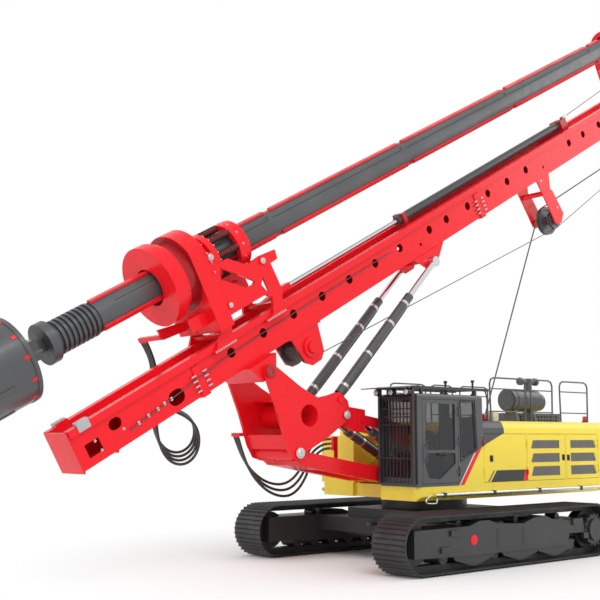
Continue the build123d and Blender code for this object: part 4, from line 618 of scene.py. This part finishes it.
class RIG_OT_ropes(bpy.types.Operator):
    """String the main and the auxiliary rope, and wind them on their drums"""

    bl_idname = "rig.ropes"
    bl_label = "Ropes"

    def execute(self, context):
        sizes = context.scene.rig_sizes
        grip = HEAD_SHEAVE_RADIUS - sizes.rope * 0.3
        main = [Vector((-1.79, 0, 2.42)), *over_sheave(REAR_SHEAVE, 0, REAR_SHEAVE_RADIUS, 121, 90, 3),
                *over_sheave(HEAD_REAR_SHEAVE, 0, grip, -90, 0, 5),
                *over_sheave(HEAD_FRONT_SHEAVE, 0, grip, 0, 90, 5), on_mast(15.35, 0, KELLY_AXIS)]
        pipe("main_rope", [main], sizes.rope / 2, "mast", "wire_rope", bent=False)
        thin = [on_mast(AUX_WINCH_S, THIN_ROPE_Y, -0.92),
                *over_sheave(REAR_SHEAVE, THIN_ROPE_Y, SMALL_SHEAVE_RADIUS, -90, -90, 1),
                on_mast(19.6, THIN_ROPE_Y, -1.01),
                *over_sheave(HEAD_SMALL_SHEAVE, THIN_ROPE_Y, SMALL_SHEAVE_RADIUS, 0, 90, 5),
                on_mast(12.05, 0.10, 0.570)]
        pipe("thin_rope", [thin], sizes.thin_rope / 2, "mast", "wire_rope", bent=False)
        winding("main_winding", (-1.45, 0, 2.30), 0.30, 0.372, sizes.rope, "main_winch_drum")
        winding("thin_winding", on_mast(AUX_WINCH_S, 0, -0.71), 0.20, 0.252, sizes.thin_rope * 1.3,
                "aux_winch_drum")
        shape = bmesh.new()
        lathe(shape, [(0, 0.16), (0.035, 0.16), (0.05, 0.10), (0.05, -0.10), (0.035, -0.16), (0, -0.16)],
              facing(MAST_UP, on_mast(11.95, 0.095, 0.565)) @ Matrix.Scale(0.6, 4), 16)
        piece("thin_rope_socket", shape, "mast", "zinc", 40)
        return {"FINISHED"}


class RIG_OT_mast_fittings(bpy.types.Operator):
    """Add the pipes, clips, stops and bolts of the mast"""

    bl_idname = "rig.mast_fittings"
    bl_label = "Mast fittings"

    def execute(self, context):
        size = context.scene.rig_sizes.bolt
        bolts, clips, stops = bmesh.new(), bmesh.new(), bmesh.new()
        for side in (-1, 1):
            out = ACROSS * side
            for s, h in ((-2.958, -0.045), (-2.916, -0.225), (-2.434, -0.123), (10.134, -1.176),
                         (9.887, -0.421)):
                bolt(bolts, on_mast(s, side * 0.327, h), out, size)
            for collar in (-0.79, 7.5, 13.3):
                for h in (-0.27, -0.18, -0.09, 0.0):
                    stud(bolts, collar + 0.12, side * 0.362, h, 0.09, 0.016)
                    stud(bolts, collar - 0.12, side * 0.362, h, 0.09, 0.016)
            for s, h in ((-2.158, -0.171), (-1.951, -0.151), (-1.747, -0.144), (-1.598, -0.124),
                         (-1.446, -0.123)):
                block(clips, (-0.022, -0.03, -0.03), (0.022, 0.022, 0.03), mast_place(s, side * 0.33, h))
            block(stops, (-3.165, -0.055, -0.08), (-2.945, 0.055, 0.08), mast_place(0, side * 0.355, 0.285))
        for s, h in ((0.02, -0.37), (0.20, -0.37), (0.37, -0.37)):
            for y in (-0.22, 0.22):
                bolt(bolts, on_mast(s, y, h), -MAST_OUT, size)
        for row in (-0.12, 0.12):
            for step in range(6):
                bolt(bolts, on_mast(-1.15 + step * 0.06, row, 0.21), MAST_OUT, size * 0.7)
        piece("mast_bolts", bolts, "mast", "zinc", 30)
        piece("mast_pipe_clips", clips, "mast", "zinc", 30)
        piece("rail_stops", stops, "mast", "grey_paint", 30)
        routes = []
        for side in (-1, 1):
            y = side * 0.345
            routes.append([on_mast(-2.35, y, -0.19), on_mast(-2.158, y, -0.171), on_mast(-1.747, y, -0.144),
                           on_mast(-1.446, y, -0.123), on_mast(-0.95, y + side * 0.02, -0.075),
                           on_mast(-0.60, y + side * 0.02, -0.045), on_mast(0.0, y, 0.0),
                           on_mast(2.37, y, 0.03), on_mast(4.54, y, 0.03), on_mast(4.62, side * 0.31, 0.03)])
        pipe("mast_pipes", routes, 0.009, "mast", "dark_paint")
        brackets = bmesh.new()
        block(brackets, (11.755, -0.09, -0.12), (11.88, 0.13, 0.12), mast_place(0, 0, CROWD_AXIS), 0.01)
        block(brackets, (11.80, 0.07, -0.17), (11.89, 0.12, -0.10), mast_place(0, 0, CROWD_AXIS), 0.01)
        piece("barrel_bracket", brackets, "mast", "dark_red_paint", 30)
        return {"FINISHED"}


def spring_route(angle, radius, start, stop, turns=11, corners=8):
    """A coil spring round one post of the cage."""
    side, up = away_from_kelly(angle), away_from_kelly(angle + 90)
    middle = side * 0.385
    route = []
    for step in range(turns * corners + 1):
        turn = 2 * math.pi * step / corners
        s = start + (stop - start) * step / (turns * corners)
        away = (side * math.cos(turn) + up * math.sin(turn)) * radius
        route.append(on_mast(s, 0, KELLY_AXIS) + middle + away)
    return route


class RIG_OT_drive_fittings(bpy.types.Operator):
    """Add the bolts, pins, springs and motor pipes of the rotary drive"""

    bl_idname = "rig.drive_fittings"
    bl_label = "Drive fittings"

    def execute(self, context):
        sizes = context.scene.rig_sizes
        size = sizes.bolt
        bolts, flange = bmesh.new(), bmesh.new()
        for side in (-1, 1):
            out = ACROSS * side
            for start, stop in ((-0.36, 0.09), (0.90, 1.34)):
                for step in range(9):
                    at = on_mast(start + (stop - start) * step / 8, side * CHEEK_OUTER, 0.178)
                    bolt(bolts, at, out, size * 0.8)
            for s, h, radius in ((0.264, 1.642, 0.062), (0.271, 0.755, 0.048), (1.275, 1.156, 0.056)):
                pin(bolts, on_mast(s, side * 0.486, h), out, radius)
        for step in range(sizes.flange_bolts):
            angle = 360 * step / sizes.flange_bolts + 9
            bolt(flange, round_kelly(0.47, 0.436, angle), MAST_UP, size)
        for step in range(12):
            bolt(flange, round_kelly(1.19, 0.41, 30 * step), MAST_UP, size * 0.8)
            bolt(flange, round_kelly(1.05, 0.438, 30 * step), away_from_kelly(30 * step), size * 0.8)
        for step in range(24):
            bolt(flange, round_kelly(0.10, 0.655, 15 * step), MAST_UP, size)
            bolt(flange, round_kelly(-0.555, 0.665, 15 * step), MAST_UP, size * 0.8)
        piece("drive_pins", bolts, "drive", "zinc", 30)
        piece("drive_bolts", flange, "drive", "zinc", 30)
        springs = [spring_route(45 * step, 0.056, 0.475, 0.945) for step in range(8)]
        pipe("cage_springs", springs, 0.013, "drive", "seal_rubber")
        motors = bmesh.new()
        for y in (-MOTOR_Y, MOTOR_Y):
            lathe(motors, [(0, 0.036), (0.03, 0.036), (0.04, 0.02), (0.07, 0.02), (0.076, 0.0), (0, -0.004)],
                  facing(MAST_UP, on_mast(0.70, y, MOTOR_AXIS)), 24)
            block(motors, (0.60, -0.055, 0.05), (0.67, 0.055, 0.10), mast_place(0, y, MOTOR_AXIS))
            for turn in range(8):
                angle = math.radians(turn * 45 + 22)
                at = on_mast(0.56, y + 0.092 * math.cos(angle), MOTOR_AXIS + 0.092 * math.sin(angle))
                bolt(motors, at, MAST_UP, 0.011)
        piece("motor_caps", motors, "drive", "dark_paint", 30)
        routes = [[on_mast(0.64, y, 0.92), on_mast(0.70, y * 1.1, 0.82), on_mast(0.55, y * 1.3, 0.74),
                   on_mast(0.12, y * 1.3, 0.74), on_mast(0.0, y * 1.3, 0.80)] for y in (-MOTOR_Y, MOTOR_Y)]
        pipe("motor_hoses", routes, 0.018, "drive", "hose_rubber")
        return {"FINISHED"}


def clamp_ring(shape, start, stop, share, radius, wide=0.03):
    """A band round a cylinder's barrel, part of the way along it."""
    along = (stop - start).normalized()
    at = start.lerp(stop, share)
    inner, rim = radius - 0.004, radius + 0.004
    lathe(shape, [(inner, -wide), (rim, -wide), (rim, wide), (inner, wide)], facing(along, at), 32)


class RIG_OT_boom_fittings(bpy.types.Operator):
    """Add the pins of the arm's joints, and the pipes and bands of the cylinders"""

    bl_idname = "rig.boom_fittings"
    bl_label = "Boom fittings"

    def execute(self, context):
        size = context.scene.rig_sizes.bolt
        pins = {"triangle": ((*ARM_TIP, TRIANGLE_SIDE, 0.095), (*LINK_TIP, TRIANGLE_SIDE, 0.075)),
                "boom_arm": ((*ARM_ROOT, 0.492, 0.10),),
                "upper_link": ((*LINK_ROOT, 0.516, 0.07),)}
        for body, places in pins.items():
            shape = bmesh.new()
            for x, z, y, radius in places:
                for side in (-1, 1):
                    pin(shape, (x, side * y, z), ACROSS * side, radius)
                    for turn in (40, 220):
                        angle, rim = math.radians(turn), radius * 0.83
                        at = (x + rim * math.cos(angle), side * y, z + rim * math.sin(angle))
                        bolt(shape, at, ACROSS * side, size * 0.6)
            piece(f"{body}_pins", shape, body, "zinc", 30)
        shape = bmesh.new()
        for side in (-1, 1):
            lathe(shape, [(0.04, 0.0), (0.04, 0.012), (0.10, 0.012), (0.11, 0.0)],
                  facing(ACROSS * side, (MAST_HINGE[0], side * TRIANGLE_SIDE, MAST_HINGE[1])), 28)
        piece("hinge_bosses", shape, "triangle", "dark_red_paint", 30)
        bands = {"mast_barrels": (MAST_FOOT, MAST_EYE, 0.4245, 0.091, 2.9),
                 "luff_barrels": (LUFF_FOOT, LUFF_EYE, 0.33, 0.09, 1.6)}
        for body, (foot, eye, y, radius, length) in bands.items():
            along = (eye - foot).normalized()
            lift = along.cross(ACROSS).normalized()
            shape, routes = bmesh.new(), []
            for side in (-1, 1):
                start = foot + ACROSS * (y * side)
                stop = start + along * length
                for share in BAND_SHARES:
                    clamp_ring(shape, start, stop, share, radius)
                away = lift * (radius + 0.03)
                routes.append([start + along * 0.16 + lift * radius, start + along * 0.20 + away,
                               start + along * (length * 0.5) + away, start + along * (length - 0.16) + away,
                               start + along * (length - 0.10) + lift * radius])
            piece(f"{body}_bands", shape, body, "zinc", 35)
            pipe(f"{body}_pipes", routes, 0.014, body, "dark_paint")
        return {"FINISHED"}


class RIG_OT_cab_fittings(bpy.types.Operator):
    """Add the cab's handle, seals, lamps, wiper and roof fittings"""

    bl_idname = "rig.cab_fittings"
    bl_label = "Cab fittings"

    def execute(self, context):
        lamps, door, roof = bmesh.new(), bmesh.new(), bmesh.new()
        for y in (0.646, 1.028, 1.41):
            lathe(lamps, [(0, 0.022), (0.03, 0.018), (0.05, 0.006), (0.054, -0.004), (0, -0.004)],
                  facing((1, 0, 0), (1.972, y, 3.153)), 24)
        piece("work_lamps", lamps, "upper", "clear_lens", 40)
        block(door, (1.02, 1.502, 2.005), (1.22, 1.528, 2.045), edge=0.008)
        block(door, (1.02, 1.498, 1.99), (1.06, 1.52, 2.06), edge=0.006)
        piece("door_handle", door, "cab_door", "seal_rubber", 30)
        for x, z, tall in ((0.766, 3.13, 0.26), (-0.02, 3.13, 0.30)):
            lathe(roof, [(0.05, 0.0), (0.05, 0.02), (0.02, 0.04), (0.02, tall - 0.05), (0.035, tall - 0.04),
                         (0.035, tall), (0, tall)], facing((0, 0, 1), (x, 1.30, z)), 20)
        piece("roof_fittings", roof, "upper", "seal_rubber", 40)
        side_window = ((0.60, 3.03), (0.18, 3.03), (0.125, 2.10), (0.60, 1.885), (0.60, 3.03))
        trim = [[Vector((x, 1.504, z)) for x, z in side_window]]
        pipe("window_seal", trim, 0.010, "upper", "seal_rubber", bent=False)
        wiper = [[Vector((1.80, 0.72, 1.66)), Vector((1.795, 0.80, 1.95)), Vector((1.79, 0.95, 2.45))]]
        pipe("wiper", wiper, 0.007, "upper", "seal_rubber")
        bars = [[Vector((1.76, 0.62, 2.58)), Vector((1.80, 0.60, 2.62)), Vector((1.80, 0.60, 3.00)),
                 Vector((1.76, 0.62, 3.045))]]
        pipe("grab_rail", bars, 0.014, "upper", "zinc")
        return {"FINISHED"}


class RIG_OT_housing_fittings(bpy.types.Operator):
    """Add the side rails with their clips, latches, beacons, seams and the step loops"""

    bl_idname = "rig.housing_fittings"
    bl_label = "Housing fittings"

    def execute(self, context):
        rails, clips, seams = [], bmesh.new(), bmesh.new()
        for side in (-1, 1):
            y = side * 1.534
            rails.append([Vector((-3.843, y, 1.285)), Vector((1.36, y, 1.285))])
            for x in (1.116, -0.30, -1.716, -3.132):
                block(clips, (x - 0.035, y - 0.042, 1.243), (x + 0.035, y + 0.042, 1.327))
            for x in (-1.40, -2.70, -3.88):
                block(seams, (x - 0.006, side * 1.488 - 0.010, 1.46),
                      (x + 0.006, side * 1.488 + 0.0115, 2.40), edge=0.002)
        pipe("side_rails", rails, 0.036, "upper", "zinc", bent=False)
        piece("rail_clips", clips, "upper", "black_paint", 30)
        piece("panel_seams", seams, "upper", "seal_rubber", 30)
        latches = {"left_door_front": (-0.296, 1.928), "left_door_middle": (-2.62, 1.923),
                   "left_door_rear": (-2.79, 1.916), "right_door_front": (-2.62, 1.923),
                   "right_door_rear": (-2.79, 1.916)}
        for body, (x, z) in latches.items():
            side = 1 if body.startswith("left") else -1
            shape = bmesh.new()
            for wide, y, thick, low, high in ((0.045, 1.503, 0.007, 0.06, 0.06),
                                              (0.018, 1.513, 0.010, 0.045, 0.02)):
                block(shape, (x - wide, side * y - thick, z - low), (x + wide, side * y + thick, z + high))
            piece(f"{body}_latch", shape, body, "seal_rubber", 30)
        base, glow, box = bmesh.new(), bmesh.new(), bmesh.new()
        for x in (-0.423, -3.80):
            place = facing((0, 0, 1), (x, 1.25, ROOF))
            lathe(base, [(0.07, 0.0), (0.07, 0.02), (0.058, 0.03), (0, 0.03)], place, 28)
            lathe(glow, [(0.052, 0.03), (0.052, 0.11), (0.04, 0.135), (0, 0.14)], place, 28)
        block(box, (-0.86, 1.10, ROOF), (-0.69, 1.25, 2.86), edge=0.01)
        piece("beacon_bases", base, "upper", "seal_rubber", 40)
        piece("beacons", glow, "upper", "red_lens", 40)
        piece("air_box", box, "upper", "cream_paint", 30)
        loop = [[Vector((1.42, 1.50, 1.28)), Vector((1.60, 1.54, 1.25)), Vector((1.615, 1.54, 1.150)),
                 Vector((1.45, 1.54, 1.140)), Vector((1.30, 1.54, 1.140)), Vector((1.285, 1.50, 1.26))]]
        pipe("step_loop", loop, 0.016, "upper", "zinc")
        return {"FINISHED"}


class RIG_OT_track_fittings(bpy.types.Operator):
    """Add the plates, caps and bolts of the track frames"""

    bl_idname = "rig.track_fittings"
    bl_label = "Track fittings"

    def execute(self, context):
        size = context.scene.rig_sizes.bolt
        caps, plates, seams = bmesh.new(), bmesh.new(), bmesh.new()
        for side in (-1, 1):
            out = ACROSS * side
            face = side * FRAME_SIDE
            lathe(plates, [(0.092, -0.004), (0.092, 0.008), (0.06, 0.012), (0, 0.012)],
                  facing(out, (1.16, face, 0.54)), 8)
            for x in (0.513, -0.24):
                block(seams, (x - 0.006, face - 0.004, 0.38), (x + 0.006, face + 0.004, 0.70), edge=0.002)
            for turn in range(16):
                angle = math.radians(turn * 22.5)
                at = (FINAL_DRIVE[0] + FINAL_DRIVE_BOLTS * math.cos(angle), face + side * 0.002,
                      FINAL_DRIVE[1] + FINAL_DRIVE_BOLTS * math.sin(angle))
                bolt(caps, at, out, size)
        piece("tension_plates", plates, "undercarriage", "red_paint", 30)
        piece("frame_seams", seams, "undercarriage", "seal_rubber", 30)
        piece("frame_bolts", caps, "undercarriage", "frame_paint", 30)
        return {"FINISHED"}


def kelly_place(s, radius, angle):
    """The place of a shape on the kelly bar or the bucket: its X runs up the bar and its Z away from it."""
    away = away_from_kelly(angle)
    turn = Matrix((MAST_UP, away.cross(MAST_UP), away)).transposed().to_4x4()
    return Matrix.Translation(round_kelly(s, radius, angle)) @ turn


class RIG_OT_kelly_fittings(bpy.types.Operator):
    """Add the red marks, bands and bolts of the kelly bar and the bucket"""

    bl_idname = "rig.kelly_fittings"
    bl_label = "Kelly fittings"

    def execute(self, context):
        marks = bmesh.new()
        for step in range(12):
            place = kelly_place(-3.51, BUCKET_RADIUS, 30 * step + 4)
            block(marks, (-0.065, -0.025, -0.012), (0.065, 0.025, 0.006), place, 0.002)
        piece("bucket_marks", marks, "kelly_inner", "red_paint", 30)
        bolts = bmesh.new()
        for step in range(16):
            bolt(bolts, round_kelly(15.40, 0.35, 22.5 * step), MAST_UP, 0.014)
        piece("collar_bolts", bolts, "kelly_outer", "zinc", 30)
        seams = bmesh.new()
        for start, stop in ((-1.60, 1.94), (2.06, 5.92), (6.04, 9.85), (9.97, 13.75)):
            for angle in (29, 149, 269):
                place = kelly_place(0, KELLY_RADIUS, angle)
                block(seams, (start, -0.006, -0.01), (stop, 0.006, 0.0035), place, 0.001)
                block(seams, (stop, -0.006, -0.01), (stop + 0.012, 0.075, 0.0035), place, 0.001)
        piece("kelly_seams", seams, "kelly_outer", "seal_rubber", 30)
        return {"FINISHED"}


class RIG_OT_stage(bpy.types.Operator):
    """Set the camera, lamps, floor and backdrop"""

    bl_idname = "rig.stage"
    bl_label = "Stage"

    def execute(self, context):
        scene = context.scene
        scene.view_settings.view_transform = "Standard"
        camera = bpy.data.objects.new("camera", bpy.data.cameras.new("camera"))
        scene.collection.objects.link(camera)
        camera.data.lens = CAMERA_LENS
        camera.data.sensor_width = SENSOR
        camera.data.clip_end = 200
        yaw, pitch = math.radians(CAMERA_YAW), math.radians(CAMERA_PITCH)
        forward = Vector((math.cos(yaw) * math.cos(pitch), math.sin(yaw) * math.cos(pitch), math.sin(pitch)))
        roll = Matrix.Rotation(math.radians(CAMERA_ROLL), 3, "Z")
        turn = forward.to_track_quat("-Z", "Y").to_matrix() @ roll
        camera.matrix_world = Matrix.Translation(CAMERA_AT) @ turn.to_4x4()
        scene.camera = camera
        shape = bmesh.new()
        bmesh.ops.create_grid(shape, x_segments=1, y_segments=1, size=90)
        mesh = bpy.data.meshes.new("studio_floor")
        shape.to_mesh(mesh)
        shape.free()
        floor = bpy.data.objects.new("studio_floor", mesh)
        scene.collection.objects.link(floor)
        mesh.materials.append(self.floor_material())
        for name, at, size, power in LAMPS:
            lamp = bpy.data.objects.new(name, bpy.data.lights.new(name, "AREA"))
            lamp.data.size = size
            lamp.data.energy = power
            aim = (LAMPS_AIM - Vector(at)).to_track_quat("-Z", "Y")
            lamp.matrix_world = Matrix.Translation(at) @ aim.to_matrix().to_4x4()
            scene.collection.objects.link(lamp)
        self.world(scene)
        return {"FINISHED"}

    def floor_material(self):
        """Pale near the machine, where it takes the shadow, and plain white further off."""
        finish = Finish("studio_floor")
        nodes, links = finish.nodes, finish.links
        finish.set(Base_Color=(0.96, 0.96, 0.96, 1), Roughness=0.9, Specular_IOR_Level=0.1)
        far = finish.node("ShaderNodeVectorMath", {0: finish.where}, "Value", operation="LENGTH")
        fade = finish.between(far, 0.0, 1.0, 3.0, 8.0)
        path = nodes.new("ShaderNodeLightPath")
        seen = finish.either(path.outputs["Is Camera Ray"], path.outputs["Is Glossy Ray"])
        white = nodes.new("ShaderNodeEmission")
        mix = nodes.new("ShaderNodeMixShader")
        links.new(finish.every(seen, fade), mix.inputs["Fac"])
        links.new(finish.shader.outputs["BSDF"], mix.inputs[1])
        links.new(white.outputs[0], mix.inputs[2])
        output = next(node for node in nodes if node.bl_idname == "ShaderNodeOutputMaterial")
        links.new(mix.outputs[0], output.inputs["Surface"])
        return finish.material

    def world(self, scene):
        """Soft light all round, and white to the eye, to mirrors and through glass."""
        world = bpy.data.worlds.new("studio")
        scene.world = world
        world.use_nodes = True
        nodes, links = world.node_tree.nodes, world.node_tree.links
        nodes.clear()
        output = nodes.new("ShaderNodeOutputWorld")
        light, seen = nodes.new("ShaderNodeBackground"), nodes.new("ShaderNodeBackground")
        light.inputs["Color"].default_value = (1, 1, 1, 1)
        light.inputs["Strength"].default_value = 0.72
        seen.inputs["Color"].default_value = (1, 1, 1, 1)
        path = nodes.new("ShaderNodeLightPath")
        mix = nodes.new("ShaderNodeMixShader")
        rays = path.outputs["Is Camera Ray"]
        for kind in ("Is Glossy Ray", "Is Transmission Ray"):
            either = nodes.new("ShaderNodeMath")
            either.operation = "MAXIMUM"
            links.new(rays, either.inputs[0])
            links.new(path.outputs[kind], either.inputs[1])
            rays = either.outputs[0]
        links.new(rays, mix.inputs["Fac"])
        links.new(light.outputs[0], mix.inputs[1])
        links.new(seen.outputs[0], mix.inputs[2])
        links.new(mix.outputs[0], output.inputs["Surface"])


class RIG_PT_panel(bpy.types.Panel):
    """Lists the steps that dress the machine, and its colours and sizes"""

    bl_idname = "RIG_PT_panel"
    bl_label = "Piling rig"
    bl_space_type = "VIEW_3D"
    bl_region_type = "UI"
    bl_category = "Piling rig"

    def draw(self, context):
        for operator in OPERATORS:
            self.layout.operator(operator.bl_idname)
        for group in (context.scene.rig_colours, context.scene.rig_sizes):
            for name in group.bl_rna.properties.keys():
                if name not in ("rna_type", "name"):
                    self.layout.prop(group, name)


OPERATORS = (RIG_OT_stage, RIG_OT_finishes, RIG_OT_hoses, RIG_OT_ropes, RIG_OT_mast_fittings,
             RIG_OT_drive_fittings, RIG_OT_boom_fittings, RIG_OT_cab_fittings, RIG_OT_housing_fittings,
             RIG_OT_track_fittings, RIG_OT_kelly_fittings)
CLASSES = (RigColours, RigSizes, *OPERATORS, RIG_PT_panel)


def register():
    for item in CLASSES:
        bpy.utils.register_class(item)
    bpy.types.Scene.rig_colours = PointerProperty(type=RigColours)
    bpy.types.Scene.rig_sizes = PointerProperty(type=RigSizes)


def unregister():
    del bpy.types.Scene.rig_sizes
    del bpy.types.Scene.rig_colours
    for item in reversed(CLASSES):
        bpy.utils.unregister_class(item)


def main():
    register()
    for operator in OPERATORS:
        group, name = operator.bl_idname.split(".")
        getattr(getattr(bpy.ops, group), name)()
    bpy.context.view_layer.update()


if __name__ == "__main__":
    main()
